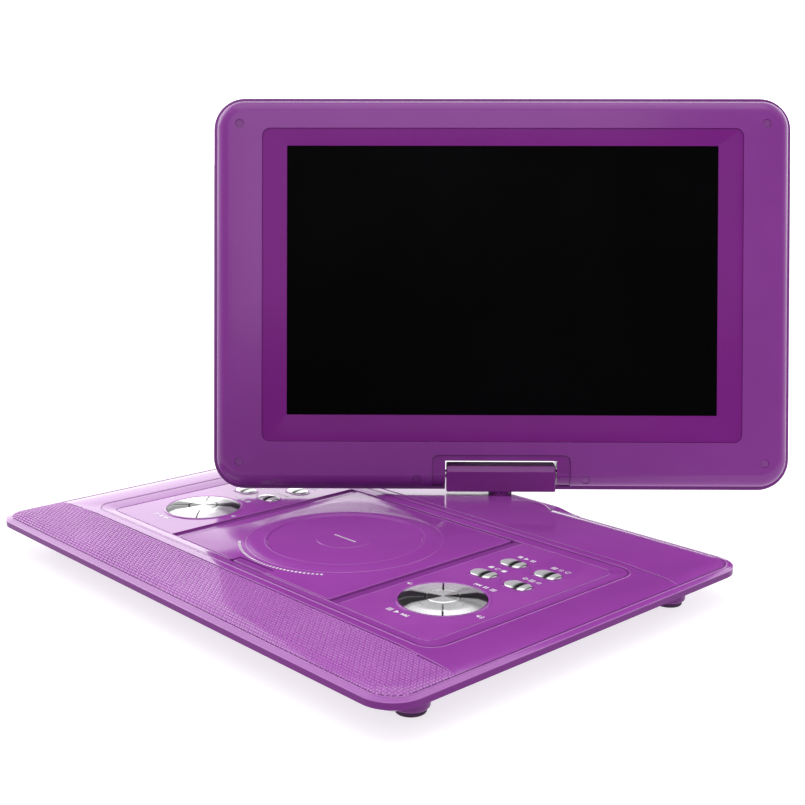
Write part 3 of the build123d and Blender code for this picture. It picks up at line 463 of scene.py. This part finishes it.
def polygonSolid(name, outlines, low, high, finish, body):
    mesh = bpy.data.meshes.new(name)
    bm = bmesh.new()
    for outline in outlines:
        ring = [bm.verts.new((x * mm, y * mm, low * mm)) for x, y in outline]
        face = bm.faces.new(ring)
        made = bmesh.ops.extrude_face_region(bm, geom=[face])
        top = [g for g in made["geom"] if isinstance(g, bmesh.types.BMVert)]
        bmesh.ops.translate(bm, verts=top, vec=(0, 0, (high - low) * mm))
    bmesh.ops.recalc_face_normals(bm, faces=bm.faces)
    bmesh.ops.triangulate(bm, faces=bm.faces)
    bm.to_mesh(mesh)
    bm.free()
    obj = bpy.data.objects.new(name, mesh)
    bpy.context.scene.collection.objects.link(obj)
    setFinish(obj, finish)
    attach(obj, body)
    return obj


def placed(outline, x, y, size=1.0, turn=0.0):
    c = math.cos(turn)
    s = math.sin(turn)
    return [(x + size * (px * c - py * s), y + size * (px * s + py * c)) for px, py in outline]


def rectangle(x0, y0, x1, y1):
    return [(x0, y0), (x1, y0), (x1, y1), (x0, y1)]


def circle(x, y, r, count=20):
    turns = [2 * math.pi * i / count for i in range(count)]
    return [(x + r * math.cos(a), y + r * math.sin(a)) for a in turns]


# Part of a ring, as one closed outline.
def arc(x, y, r, width, start, end, count=16):
    outer = []
    inner = []
    for i in range(count + 1):
        a = math.radians(start + (end - start) * i / count)
        outer.append((x + (r + width / 2) * math.cos(a), y + (r + width / 2) * math.sin(a)))
        inner.append((x + (r - width / 2) * math.cos(a), y + (r - width / 2) * math.sin(a)))
    return outer + inner[::-1]


# Plain signs, each about two units high around its own middle.
signs = {
    "play": [[(-0.8, -1), (0.9, 0), (-0.8, 1)]],
    "stop": [rectangle(-0.85, -0.85, 0.85, 0.85)],
    "pause": [rectangle(-0.8, -0.9, -0.25, 0.9), rectangle(0.25, -0.9, 0.8, 0.9)],
    "next": [[(-1.2, -0.9), (0, 0), (-1.2, 0.9)], [(0.05, -0.9), (1.2, 0), (0.05, 0.9)],
             rectangle(1.25, -0.9, 1.6, 0.9)],
    "back": [[(1.2, 0.9), (0, 0), (1.2, -0.9)], [(-0.05, 0.9), (-1.2, 0), (-0.05, -0.9)],
             rectangle(-1.6, -0.9, -1.25, 0.9)],
    "menu": [rectangle(-1.1, 0.55, 1.1, 0.9), rectangle(-1.1, -0.17, 1.1, 0.17),
             rectangle(-1.1, -0.9, 1.1, -0.55)],
    "louder": [[(-1.3, -0.35), (-0.9, -0.35), (-0.3, -0.95), (-0.3, 0.95), (-0.9, 0.35), (-1.3, 0.35)],
               arc(-0.3, 0, 0.75, 0.22, -48, 48), arc(-0.3, 0, 1.35, 0.22, -48, 48)],
    "softer": [[(-1.0, -0.35), (-0.6, -0.35), (0.0, -0.95), (0.0, 0.95), (-0.6, 0.35), (-1.0, 0.35)],
               arc(0.0, 0, 0.75, 0.22, -48, 48)],
    "loop": [arc(0, 0, 0.8, 0.26, 40, 330), [(0.35, 0.75), (1.15, 0.85), (0.75, 0.1)]],
    "window": [arc(0, 0, 0.95, 0.2, 45, 405, 4), rectangle(-0.35, -0.1, 0.35, 0.1)],
    "card": [[(-0.9, -0.9), (0.9, -0.9), (0.9, 0.9), (-0.3, 0.9), (-0.9, 0.3)]],
    "gear": [arc(0, 0, 0.62, 0.3, 0, 350, 24)] + [
        placed(rectangle(0.72, -0.16, 1.08, 0.16), 0, 0, 1, i * math.pi / 3) for i in range(6)],
}

legend = {
    "size": 1.5,
    "thick": 0.05,
    "keyColumns": (90.4, 113.8),
    "keyRows": (34.7, 12.4),
    "above": 10.4,
    "padX": 101.6,
    "padY": -27.5,
}
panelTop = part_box("right_key_panel")[1][2] / mm - 0.3
print("panel top:", round(panelTop, 3))


def signAt(name, x, y, size):
    return [placed(outline, x, y, size) for outline in signs[name]]


def legendsFor(side):
    shapes = []
    sets = {
        -1: [("card", "louder", "menu"), ("pause", "menu", "play"), ("stop", "loop", "gear"),
             ("window", "gear", "card")],
        1: [("stop", "play", "pause"), ("menu", "window", "loop"), ("card", "loop", "stop"),
            ("gear", "menu", "window")],
    }
    places = [(c, r) for r in legend["keyRows"] for c in legend["keyColumns"]]
    for names, (column, row) in zip(sets[side], places):
        for i, name in enumerate(names):
            shapes += signAt(name, side * column + 4.4 * (i - 1), row + legend["above"], legend["size"])
    px = side * legend["padX"]
    py = legend["padY"]
    for i, name in enumerate(("back", "pause", "menu")):
        shapes += signAt(name, px + 3.0 + 5.0 * (i - 1), py + 26.6, 1.5)
    for i, name in enumerate(("menu", "play", "next")):
        shapes += signAt(name, px - 3.0 + 5.0 * (i - 1), py - 27.2, 1.5)
    shapes += signAt("softer", px - side * 26.4, py + 3, 1.6)
    shapes += signAt("louder", px + side * 27.6, py - 3, 1.6)
    return shapes


for side, hand in ((-1, "left"), (1, "right")):
    polygonSolid(f"{hand}Legends", legendsFor(side), panelTop - 0.01, panelTop + legend["thick"], "legendInk",
                 "base")

# Fine moulded lines that join the oval keys in pairs.
link = {"width": 0.55, "high": 0.16}
for side, hand in ((-1, "left"), (1, "right")):
    shapes = []
    for row in legend["keyRows"]:
        x0 = side * legend["keyColumns"][0]
        x1 = side * legend["keyColumns"][1]
        a = min(x0, x1) + 9.4
        b = max(x0, x1) - 9.4
        upper = []
        lower = []
        for i in range(13):
            t = i / 12
            x = a + (b - a) * t
            y = row + 2.1 * math.cos(math.pi * t)
            upper.append((x, y + link["width"] / 2))
            lower.append((x, y - link["width"] / 2))
        shapes.append(lower + upper[::-1])
    polygonSolid(f"{hand}KeyLinks", shapes, panelTop - 0.05, panelTop + link["high"], "shellGloss", "base")

# Two small dimples' marks on each ring key.
padMark = {"radius": 14.6, "gap": 1.9, "size": 0.75}
for side, hand in ((-1, "left"), (1, "right")):
    for turn, name in ((0, "east"), (90, "north"), (180, "west"), (270, "south")):
        node = f"{hand}_pad_{name}"
        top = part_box(node)[1][2] / mm
        a = math.radians(turn)
        cx = side * legend["padX"] + padMark["radius"] * math.cos(a)
        cy = legend["padY"] + padMark["radius"] * math.sin(a)
        shapes = []
        for step in (-1, 1):
            x = cx - step * padMark["gap"] / 2 * math.sin(a)
            y = cy + step * padMark["gap"] / 2 * math.cos(a)
            shapes.append(circle(x, y, padMark["size"] / 2, 14))
        polygonSolid(f"{hand}PadMark{name.title()}", shapes, top - 0.01, top + 0.03, "blackSatin", node)

print("legends made")


lidMark = {"count": 9, "start": -8.4, "pitch": 2.0, "length": 1.2, "low": -4.0, "high": -2.7, "ink": 0.04}
hubTop = panelTop + 0.4
hubShapes = []
for i in range(lidMark["count"]):
    x = lidMark["start"] + lidMark["pitch"] * i
    hubShapes.append(rectangle(x, lidMark["low"], x + lidMark["length"], lidMark["high"]))
polygonSolid("lidCentreMark", hubShapes, hubTop - 0.01, hubTop + lidMark["ink"], "legendInk", "lid")


def newTree(name, inputs):
    group = bpy.data.node_groups.new(name, "GeometryNodeTree")
    group.interface.new_socket(name="Geometry", in_out="INPUT", socket_type="NodeSocketGeometry")
    for label, kind in inputs:
        group.interface.new_socket(name=label, in_out="INPUT", socket_type=kind)
    group.interface.new_socket(name="Geometry", in_out="OUTPUT", socket_type="NodeSocketGeometry")
    return group, group.nodes.new("NodeGroupInput"), group.nodes.new("NodeGroupOutput")


# Runs a tree on an empty mesh and keeps the result as one plain mesh.
def growPiece(name, group, values, body):
    mesh = bpy.data.meshes.new(name + "Seed")
    seed = bpy.data.objects.new(name + "Seed", mesh)
    bpy.context.scene.collection.objects.link(seed)
    modifier = seed.modifiers.new("grow", "NODES")
    modifier.node_group = group
    sockets = {s.name: s.identifier for s in group.interface.items_tree if s.in_out == "INPUT"}
    for label, value in values.items():
        modifier[sockets[label]] = value
    bpy.context.view_layer.update()
    graph = bpy.context.evaluated_depsgraph_get()
    made = bpy.data.meshes.new_from_object(seed.evaluated_get(graph))
    made.name = name
    bpy.data.objects.remove(seed)
    obj = bpy.data.objects.new(name, made)
    bpy.context.scene.collection.objects.link(obj)
    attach(obj, body)
    print(name, "faces:", len(made.polygons))
    return obj


def math2(group, operation, a, b):
    node = group.nodes.new("ShaderNodeMath")
    node.operation = operation
    for i, value in enumerate((a, b)):
        if isinstance(value, (int, float)):
            node.inputs[i].default_value = value
        else:
            group.links.new(value, node.inputs[i])
    return node.outputs[0]


# Woven grain: short pillows on staggered rows, turned alternately, laid on the palm rest's surface.
def grainTree(target, material):
    group, start, end = newTree("wovenGrain", [
        ("Width", "NodeSocketFloat"), ("Depth", "NodeSocketFloat"), ("Middle", "NodeSocketVector"),
        ("Pitch", "NodeSocketFloat"), ("Pillow Length", "NodeSocketFloat"), ("Pillow Width", "NodeSocketFloat"),
        ("Pillow Height", "NodeSocketFloat")])
    link = group.links.new
    grid = group.nodes.new("GeometryNodeMeshGrid")
    link(start.outputs["Width"], grid.inputs["Size X"])
    link(start.outputs["Depth"], grid.inputs["Size Y"])
    columns = math2(group, "DIVIDE", start.outputs["Width"], start.outputs["Pitch"])
    rows = math2(group, "DIVIDE", start.outputs["Depth"], start.outputs["Pitch"])
    link(columns, grid.inputs["Vertices X"])
    link(rows, grid.inputs["Vertices Y"])
    place = group.nodes.new("GeometryNodeSetPosition")
    link(grid.outputs["Mesh"], place.inputs["Geometry"])
    link(start.outputs["Middle"], place.inputs["Offset"])
    position = group.nodes.new("GeometryNodeInputPosition")
    parts = group.nodes.new("ShaderNodeSeparateXYZ")
    link(position.outputs[0], parts.inputs[0])
    parityX = math2(group, "ROUND", math2(group, "DIVIDE", parts.outputs["X"], start.outputs["Pitch"]), 0)
    parityY = math2(group, "ROUND", math2(group, "DIVIDE", parts.outputs["Y"], start.outputs["Pitch"]), 0)
    parity = math2(group, "FLOORED_MODULO", math2(group, "ADD", parityX, parityY), 2)
    store = group.nodes.new("GeometryNodeStoreNamedAttribute")
    store.data_type = "FLOAT"
    store.domain = "POINT"
    store.inputs["Name"].default_value = "turn"
    link(place.outputs["Geometry"], store.inputs["Geometry"])
    link(math2(group, "MULTIPLY", parity, math.pi / 2), store.inputs["Value"])
    surface = group.nodes.new("GeometryNodeObjectInfo")
    surface.inputs["Object"].default_value = target
    ray = group.nodes.new("GeometryNodeRaycast")
    ray.inputs["Ray Direction"].default_value = (0, 0, -1)
    ray.inputs["Ray Length"].default_value = 0.05
    link(surface.outputs["Geometry"], ray.inputs["Target Geometry"])
    drop = group.nodes.new("GeometryNodeSetPosition")
    link(store.outputs["Geometry"], drop.inputs["Geometry"])
    link(ray.outputs["Hit Position"], drop.inputs["Position"])
    missed = group.nodes.new("FunctionNodeBooleanMath")
    missed.operation = "NOT"
    link(ray.outputs["Is Hit"], missed.inputs[0])
    keepHit = group.nodes.new("GeometryNodeStoreNamedAttribute")
    keepHit.data_type = "BOOLEAN"
    keepHit.inputs["Name"].default_value = "off"
    link(store.outputs["Geometry"], keepHit.inputs["Geometry"])
    link(missed.outputs[0], keepHit.inputs["Value"])
    keepNormal = group.nodes.new("GeometryNodeStoreNamedAttribute")
    keepNormal.data_type = "FLOAT_VECTOR"
    keepNormal.inputs["Name"].default_value = "up"
    link(keepHit.outputs["Geometry"], keepNormal.inputs["Geometry"])
    link(ray.outputs["Hit Normal"], keepNormal.inputs["Value"])
    link(keepNormal.outputs["Geometry"], drop.inputs["Geometry"])
    remove = group.nodes.new("GeometryNodeDeleteGeometry")
    off = group.nodes.new("GeometryNodeInputNamedAttribute")
    off.data_type = "BOOLEAN"
    off.inputs["Name"].default_value = "off"
    link(drop.outputs["Geometry"], remove.inputs["Geometry"])
    link(off.outputs["Attribute"], remove.inputs["Selection"])
    pillow = group.nodes.new("GeometryNodeMeshCone")
    pillow.inputs["Vertices"].default_value = 6
    pillow.inputs["Side Segments"].default_value = 1
    pillow.inputs["Radius Top"].default_value = 0.28
    pillow.inputs["Radius Bottom"].default_value = 0.5
    pillow.inputs["Depth"].default_value = 1.0
    size = group.nodes.new("ShaderNodeCombineXYZ")
    link(start.outputs["Pillow Length"], size.inputs["X"])
    link(start.outputs["Pillow Width"], size.inputs["Y"])
    link(start.outputs["Pillow Height"], size.inputs["Z"])
    turn = group.nodes.new("GeometryNodeInputNamedAttribute")
    turn.data_type = "FLOAT"
    turn.inputs["Name"].default_value = "turn"
    up = group.nodes.new("GeometryNodeInputNamedAttribute")
    up.data_type = "FLOAT_VECTOR"
    up.inputs["Name"].default_value = "up"
    euler = group.nodes.new("ShaderNodeCombineXYZ")
    link(turn.outputs["Attribute"], euler.inputs["Z"])
    align = group.nodes.new("FunctionNodeAlignRotationToVector")
    align.axis = "Z"
    link(euler.outputs[0], align.inputs["Rotation"])
    link(up.outputs["Attribute"], align.inputs["Vector"])
    put = group.nodes.new("GeometryNodeInstanceOnPoints")
    link(remove.outputs["Geometry"], put.inputs["Points"])
    link(pillow.outputs["Mesh"], put.inputs["Instance"])
    link(align.outputs[0], put.inputs["Rotation"])
    link(size.outputs[0], put.inputs["Scale"])
    real = group.nodes.new("GeometryNodeRealizeInstances")
    link(put.outputs["Instances"], real.inputs["Geometry"])
    paint = group.nodes.new("GeometryNodeSetMaterial")
    paint.inputs["Material"].default_value = material
    link(real.outputs["Geometry"], paint.inputs["Geometry"])
    link(paint.outputs["Geometry"], end.inputs["Geometry"])
    return group


palmLow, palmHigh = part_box("palm_rest_panel")
grain = {
    "Width": palmHigh[0] - palmLow[0] - 2.4 * mm,
    "Depth": palmHigh[1] - palmLow[1] - 2.2 * mm,
    "Middle": ((palmLow[0] + palmHigh[0]) / 2, (palmLow[1] + palmHigh[1]) / 2, palmHigh[2] + 5 * mm),
    "Pitch": 1.7 * mm,
    "Pillow Length": 1.9 * mm,
    "Pillow Width": 1.0 * mm,
    "Pillow Height": 0.4 * mm,
}
# The pillows take the lighter grain colour, a painted sheen.
palmTree = grainTree(nodes["palm_rest_panel"], finishes["grainGloss"])
growPiece("palmGrain", palmTree, grain, "base")


# Rows of short printed dashes along an arc of the lid's ring.
def arcDashes(material):
    group, start, end = newTree("arcDashes", [
        ("Radius", "NodeSocketFloat"), ("Start", "NodeSocketFloat"), ("Sweep", "NodeSocketFloat"),
        ("Count", "NodeSocketInt"), ("Centre", "NodeSocketVector"), ("Dash Size", "NodeSocketVector")])
    link = group.links.new
    curve = group.nodes.new("GeometryNodeCurveArc")
    link(start.outputs["Radius"], curve.inputs["Radius"])
    link(start.outputs["Start"], curve.inputs["Start Angle"])
    link(start.outputs["Sweep"], curve.inputs["Sweep Angle"])
    curve.inputs["Resolution"].default_value = 96
    points = group.nodes.new("GeometryNodeCurveToPoints")
    points.mode = "COUNT"
    link(curve.outputs["Curve"], points.inputs["Curve"])
    link(start.outputs["Count"], points.inputs["Count"])
    move = group.nodes.new("GeometryNodeSetPosition")
    link(points.outputs["Points"], move.inputs["Geometry"])
    link(start.outputs["Centre"], move.inputs["Offset"])
    dash = group.nodes.new("GeometryNodeMeshCube")
    link(start.outputs["Dash Size"], dash.inputs["Size"])
    align = group.nodes.new("FunctionNodeAlignRotationToVector")
    align.axis = "X"
    keep = group.nodes.new("GeometryNodeStoreNamedAttribute")
    keep.data_type = "FLOAT_VECTOR"
    keep.inputs["Name"].default_value = "along"
    link(move.outputs["Geometry"], keep.inputs["Geometry"])
    link(points.outputs["Tangent"], keep.inputs["Value"])
    along = group.nodes.new("GeometryNodeInputNamedAttribute")
    along.data_type = "FLOAT_VECTOR"
    along.inputs["Name"].default_value = "along"
    link(along.outputs["Attribute"], align.inputs["Vector"])
    put = group.nodes.new("GeometryNodeInstanceOnPoints")
    link(keep.outputs["Geometry"], put.inputs["Points"])
    link(dash.outputs["Mesh"], put.inputs["Instance"])
    link(align.outputs[0], put.inputs["Rotation"])
    real = group.nodes.new("GeometryNodeRealizeInstances")
    link(put.outputs["Instances"], real.inputs["Geometry"])
    paint = group.nodes.new("GeometryNodeSetMaterial")
    paint.inputs["Material"].default_value = material
    link(real.outputs["Geometry"], paint.inputs["Geometry"])
    link(paint.outputs["Geometry"], end.inputs["Geometry"])
    return group


dashes = {
    "Radius": 57.6 * mm,
    "Start": math.radians(232),
    "Sweep": math.radians(76),
    "Count": 34,
    "Centre": (0.0, -3.3 * mm, (20.3 + 0.02) * mm),
    "Dash Size": (1.3 * mm, 1.5 * mm, 0.05 * mm),
}
growPiece("lidDashes", arcDashes(finishes["legendInk"]), dashes, "lid")
print("repeats made")




def treeOf(members):
    points = []
    faces = []
    for member in members:
        mesh = nodes[member].data
        start = len(points)
        points += [tuple(v.co) for v in mesh.vertices]
        faces += [tuple(start + i for i in p.vertices) for p in mesh.polygons]
    return BVHTree.FromPolygons(points, faces)


deckTree = treeOf(["base_top_shell", "palm_rest_panel", "left_key_panel", "right_key_panel"])


def roundedPath(x0, x1, y0, y1, corner, steps=10):
    path = []
    for cx, cy, start in ((x1 - corner, y1 - corner, 0), (x0 + corner, y1 - corner, 90),
                          (x0 + corner, y0 + corner, 180), (x1 - corner, y0 + corner, 270)):
        for i in range(steps + 1):
            a = math.radians(start + 90 * i / steps)
            path.append((cx + corner * math.cos(a), cy + corner * math.sin(a)))
    return path


def divided(path, closed, longest=4.0):
    out = []
    pairs = list(zip(path, path[1:] + path[:1])) if closed else list(zip(path, path[1:]))
    for (ax, ay), (bx, by) in pairs:
        count = max(1, math.ceil(math.dist((ax, ay), (bx, by)) / longest))
        out += [(ax + (bx - ax) * i / count, ay + (by - ay) * i / count) for i in range(count)]
    return out if closed else out + [path[-1]]


# A thin round bead, sunk into whatever surface lies under its path.
def bead(name, path, radius, body, tree=None, height=None, closed=True, sink=0.35, finish="beadGloss",
         look="base_shell"):
    curve = bpy.data.curves.new(name, "CURVE")
    curve.dimensions = "3D"
    curve.bevel_depth = radius * mm
    curve.bevel_resolution = 2
    curve.use_fill_caps = True
    spline = curve.splines.new("POLY")
    track = divided(path, closed)
    spline.points.add(len(track) - 1)
    for point, (x, y) in zip(spline.points, track):
        z = height
        if tree is not None:
            hit = tree.ray_cast(Vector((x * mm, y * mm, 0.03)), Vector((0, 0, -1)))
            z = hit[0].z / mm if hit[0] is not None else 20.0
        point.co = (x * mm, y * mm, (z - radius * sink) * mm, 1)
    spline.use_cyclic_u = closed
    holder = bpy.data.objects.new(name + "Path", curve)
    bpy.context.scene.collection.objects.link(holder)
    bpy.context.view_layer.update()
    mesh = bpy.data.meshes.new_from_object(holder.evaluated_get(bpy.context.evaluated_depsgraph_get()))
    bpy.data.objects.remove(holder)
    mesh.name = name
    for face in mesh.polygons:
        face.use_smooth = True
    obj = bpy.data.objects.new(name, mesh)
    bpy.context.scene.collection.objects.link(obj)
    setFinish(obj, finish)
    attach(obj, body)
    return obj


deckLines = {
    "rim": (171.15, 124.65, 16.6),
    "crest": (168.1, 121.6, 13.6),
    "crestGroove": (167.2, 120.7, 12.7),
    "fieldX": 144.6,
    "fieldY": (-77.0, 69.3),
    "grooveX": 143.5,
    "grooveY": (-75.9, 68.2),
    "floorX": 134.4,
    "floorY": (-69.4, 63.2),
    "bend": 130.0,
    "end": 166.5,
    "palmY": (-84.6, -81.8),
    "backY": (71.4, 75.0),
    "channelX": 71.9,
    "channelY": (-68.0, 61.8),
    "latchX": 15.2,
}
lidLines = {"centreY": -3.3, "x": 64.2, "latchX": 14.9, "y": (-67.8, 61.1)}
# Painted shadow: near-black strips laid beside the field and crest lines stand in for the shade in grooves;
# nothing is cut.
groove = {"radius": 0.34, "tree": deckTree, "sink": 0.7, "finish": "grooveGloss", "look": "inner_frame"}


def outline(halfX, halfY, corner):
    return roundedPath(-halfX, halfX, -halfY, halfY, corner)


def crossLine(ends):
    low, high = ends
    end = deckLines["end"]
    bend = deckLines["bend"]
    return [(-end, low), (-bend, high), (bend, high), (end, low)]


bead("rimBead", outline(*deckLines["rim"]), 0.3, "base", height=19.45)
bead("crestBead", outline(*deckLines["crest"]), 0.28, "base", height=20.4)
fieldX = deckLines["fieldX"]
grooveX = deckLines["grooveX"]
floorX = deckLines["floorX"]
bead("fieldBead", roundedPath(-fieldX, fieldX, *deckLines["fieldY"], 10.5), 0.3, "base", tree=deckTree)
bead("fieldGroove", roundedPath(-grooveX, grooveX, *deckLines["grooveY"], 9.6), body="base", **groove)
bead("crestGroove", outline(*deckLines["crestGroove"]), body="base", **groove)
# The floor's line stops on each side of the latch.
around = roundedPath(-floorX, floorX, *deckLines["floorY"], 6.5)
quarter = 3 * len(around) // 4
front = deckLines["floorY"][0]
latchSide = deckLines["latchX"]
around = [(latchSide, front)] + around[quarter:] + around[:quarter] + [(-latchSide, front)]
bead("floorBead", around, 0.26, "base", tree=deckTree, closed=False)
bead("palmBead", crossLine(deckLines["palmY"]), 0.26, "base", tree=deckTree, closed=False)
bead("backBead", crossLine(deckLines["backY"]), 0.24, "base", tree=deckTree, closed=False)
for side, hand in ((-1, "left"), (1, "right")):
    padRound = circle(side * legend["padX"], legend["padY"], 22.7, 48)
    bead(f"{hand}PadBead", padRound, 0.24, "base", height=20.62)
    channel = [(side * deckLines["channelX"], y) for y in deckLines["channelY"]]
    bead(f"{hand}ChannelBead", channel, 0.2, "base", tree=deckTree, closed=False)
centreY = lidLines["centreY"]
bead("lidRingBead", circle(0, centreY, 54.0, 96), 0.24, "lid", height=20.36)
bead("lidBandBead", circle(0, centreY, 44.0, 96), 0.2, "lid", height=21.04)
bead("lidHubBead", circle(0, centreY, 15.6, 64), 0.16, "lid", height=20.42)
lidX = lidLines["x"]
latchX = lidLines["latchX"]
front, back = lidLines["y"]
lidEdge = [(-latchX, front), (-lidX, front), (-lidX, back), (lidX, back), (lidX, front), (latchX, front)]
bead("lidEdgeBead", lidEdge, 0.18, "lid", height=20.3, closed=False)
print("beads made")


domed = {
    "length": 15.5,
    "width": 10.0,
    "edge": 20.65,
    "foot": 17.7,
    "curve": 0.62,
    "rings": (1.0, 0.985, 0.94, 0.86, 0.74, 0.58, 0.4, 0.2),
}


def stadium(length, width, count=10):
    straight = (length - width) / 2
    points = []
    for sign, start in ((1, -90), (-1, 90)):
        for i in range(count + 1):
            a = math.radians(start + 180 * i / count)
            points.append((sign * straight + width / 2 * math.cos(a), width / 2 * math.sin(a)))
    return points


def domedKey(node):
    low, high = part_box(node)
    cx = (low[0] + high[0]) / 2 / mm
    cy = (low[1] + high[1]) / 2 / mm
    top = high[2] / mm
    outline = stadium(domed["length"], domed["width"])
    levels = [(1.0, domed["foot"])]
    for t in domed["rings"]:
        levels.append((t, domed["edge"] + (top - domed["edge"]) * (1 - t ** 2) ** domed["curve"]))
    bm = bmesh.new()
    rings = []
    for t, z in levels:
        rings.append([bm.verts.new(((cx + px * t) * mm, (cy + py * t) * mm, z * mm)) for px, py in outline])
    bm.faces.new(rings[0][::-1])
    for lower, upper in zip(rings, rings[1:]):
        for i in range(len(outline)):
            j = (i + 1) % len(outline)
            bm.faces.new((lower[i], lower[j], upper[j], upper[i]))
    tip = bm.verts.new((cx * mm, cy * mm, top * mm))
    for i in range(len(outline)):
        bm.faces.new((rings[-1][i], rings[-1][(i + 1) % len(outline)], tip))
    bmesh.ops.recalc_face_normals(bm, faces=bm.faces)
    for face in bm.faces:
        face.smooth = True
    for edge in bm.edges:
        edge.smooth = edge.calc_face_angle(0) < math.radians(50)
    name = "".join(w if i == 0 else w.title() for i, w in enumerate(node.split("_"))) + "Dome"
    mesh = bpy.data.meshes.new(name)
    bm.to_mesh(mesh)
    bm.free()
    along = mesh.attributes.new("along", "FLOAT", "POINT")
    for vertex, value in zip(mesh.vertices, along.data):
        value.value = (vertex.co.x / mm - cx) / domed["length"] + 0.5
    obj = bpy.data.objects.new(name, mesh)
    bpy.context.scene.collection.objects.link(obj)
    setFinish(obj, "domeChrome")
    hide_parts(node)
    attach(obj, node)


for node in ovals:
    domedKey(node)
print("oval keys made:", len(ovals))


shown = ["base_top_shell", "base_bottom_shell", "palm_rest_panel", "left_key_panel", "right_key_panel",
         "disc_lid", "lid_latch", "screen_bezel", "screen_back", "screen_frame", "hinge_cover", "swivel_block",
         "swivel_post", "lcd_panel", "screen_caps", "rubber_feet"] + leftPads + rightPads
for member in shown:
    pretty = "".join(w if i == 0 else w.title() for i, w in enumerate(member.split("_"))) + "Skin"
    piece = smoothCopy(pretty, member)
    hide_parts(member)
    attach(piece, bodyOf[member])
print("skins made:", len(shown))


floorMesh = bpy.data.meshes.new("floor")
reach = 6.0
corners = [(-reach, -reach, 0), (reach, -reach, 0), (reach, reach, 0), (-reach, reach, 0)]
floorMesh.from_pydata(corners, [], [(0, 1, 2, 3)])
floor = bpy.data.objects.new("floor", floorMesh)
bpy.context.scene.collection.objects.link(floor)
floorMat, floorTree, floorShader = startMaterial("paleFloor")
floorShader.inputs["Base Color"].default_value = (0.44, 0.44, 0.44, 1)
floorShader.inputs["Roughness"].default_value = 0.9
floorShader.inputs["Emission Color"].default_value = (1, 1, 1, 1)
floorShader.inputs["Emission Strength"].default_value = 0.72
floorMesh.materials.append(floorMat)

world = bpy.data.worlds.new("studio")
bpy.context.scene.world = world
world.use_nodes = True
world.node_tree.nodes["Background"].inputs["Color"].default_value = (1, 1, 1, 1)
sky = world.node_tree
backdrop = {"toward": (0.735, -0.678, 0.0), "behind": 2.1, "front": 0.28, "above": 0.95}
skyCoord = sky.nodes.new("ShaderNodeTexCoord")
skyDot = sky.nodes.new("ShaderNodeVectorMath")
skyDot.operation = "DOT_PRODUCT"
skyDot.inputs[1].default_value = backdrop["toward"]
sky.links.new(skyCoord.outputs["Generated"], skyDot.inputs[0])
skySide = sky.nodes.new("ShaderNodeMapRange")
skySide.inputs["From Min"].default_value = -0.55
skySide.inputs["From Max"].default_value = 0.45
skySide.inputs["To Min"].default_value = backdrop["behind"]
skySide.inputs["To Max"].default_value = backdrop["front"]
sky.links.new(skyDot.outputs["Value"], skySide.inputs["Value"])
skyParts = sky.nodes.new("ShaderNodeSeparateXYZ")
sky.links.new(skyCoord.outputs["Generated"], skyParts.inputs[0])
skyUp = sky.nodes.new("ShaderNodeMapRange")
skyUp.inputs["From Min"].default_value = 0.45
skyUp.inputs["From Max"].default_value = 0.85
sky.links.new(skyParts.outputs["Z"], skyUp.inputs["Value"])
skyMix = sky.nodes.new("ShaderNodeMix")
skyMix.inputs["B"].default_value = backdrop["above"]
sky.links.new(skyUp.outputs["Result"], skyMix.inputs["Factor"])
sky.links.new(skySide.outputs["Result"], skyMix.inputs["A"])
sky.links.new(skyMix.outputs["Result"], sky.nodes["Background"].inputs["Strength"])

lights = [
    {"name": "overhead", "place": (0.2, -0.1, 1.7), "aim": (0, 0, 0.1), "size": 1.6, "power": 9.0},
    {"name": "front", "place": (1.4, -1.3, 1.2), "aim": (0, 0, 0.12), "size": 1.2, "power": 7.0},
    {"name": "side", "place": (-1.5, -0.5, 1.1), "aim": (0, 0, 0.1), "size": 1.0, "power": 5.0},
]
for spec in lights:
    data = bpy.data.lights.new(spec["name"], "AREA")
    data.size = spec["size"]
    data.energy = spec["power"]
    lamp = bpy.data.objects.new(spec["name"], data)
    bpy.context.scene.collection.objects.link(lamp)
    direction = Vector(spec["aim"]) - Vector(spec["place"])
    facing = direction.to_track_quat("-Z", "Y").to_matrix().to_4x4()
    lamp.matrix_world = Matrix.Translation(spec["place"]) @ facing

view = {"place": (0.5114, -0.4324, 0.2430), "turn": 47.286, "down": 12.345, "roll": 0.048, "lens": 56.82}
cameraData = bpy.data.cameras.new("camera")
cameraData.lens = view["lens"]
cameraData.sensor_width = 36.0
cameraData.clip_end = 50.0
camera = bpy.data.objects.new("camera", cameraData)
bpy.context.scene.collection.objects.link(camera)
turnZ = Matrix.Rotation(math.radians(view["turn"]), 4, "Z")
tiltX = Matrix.Rotation(math.radians(90 - view["down"]), 4, "X")
rollZ = Matrix.Rotation(math.radians(view["roll"]), 4, "Z")
camera.matrix_world = Matrix.Translation(view["place"]) @ turnZ @ tiltX @ rollZ
bpy.context.scene.camera = camera

bpy.context.scene.view_settings.view_transform = "Standard"
print("stage set")
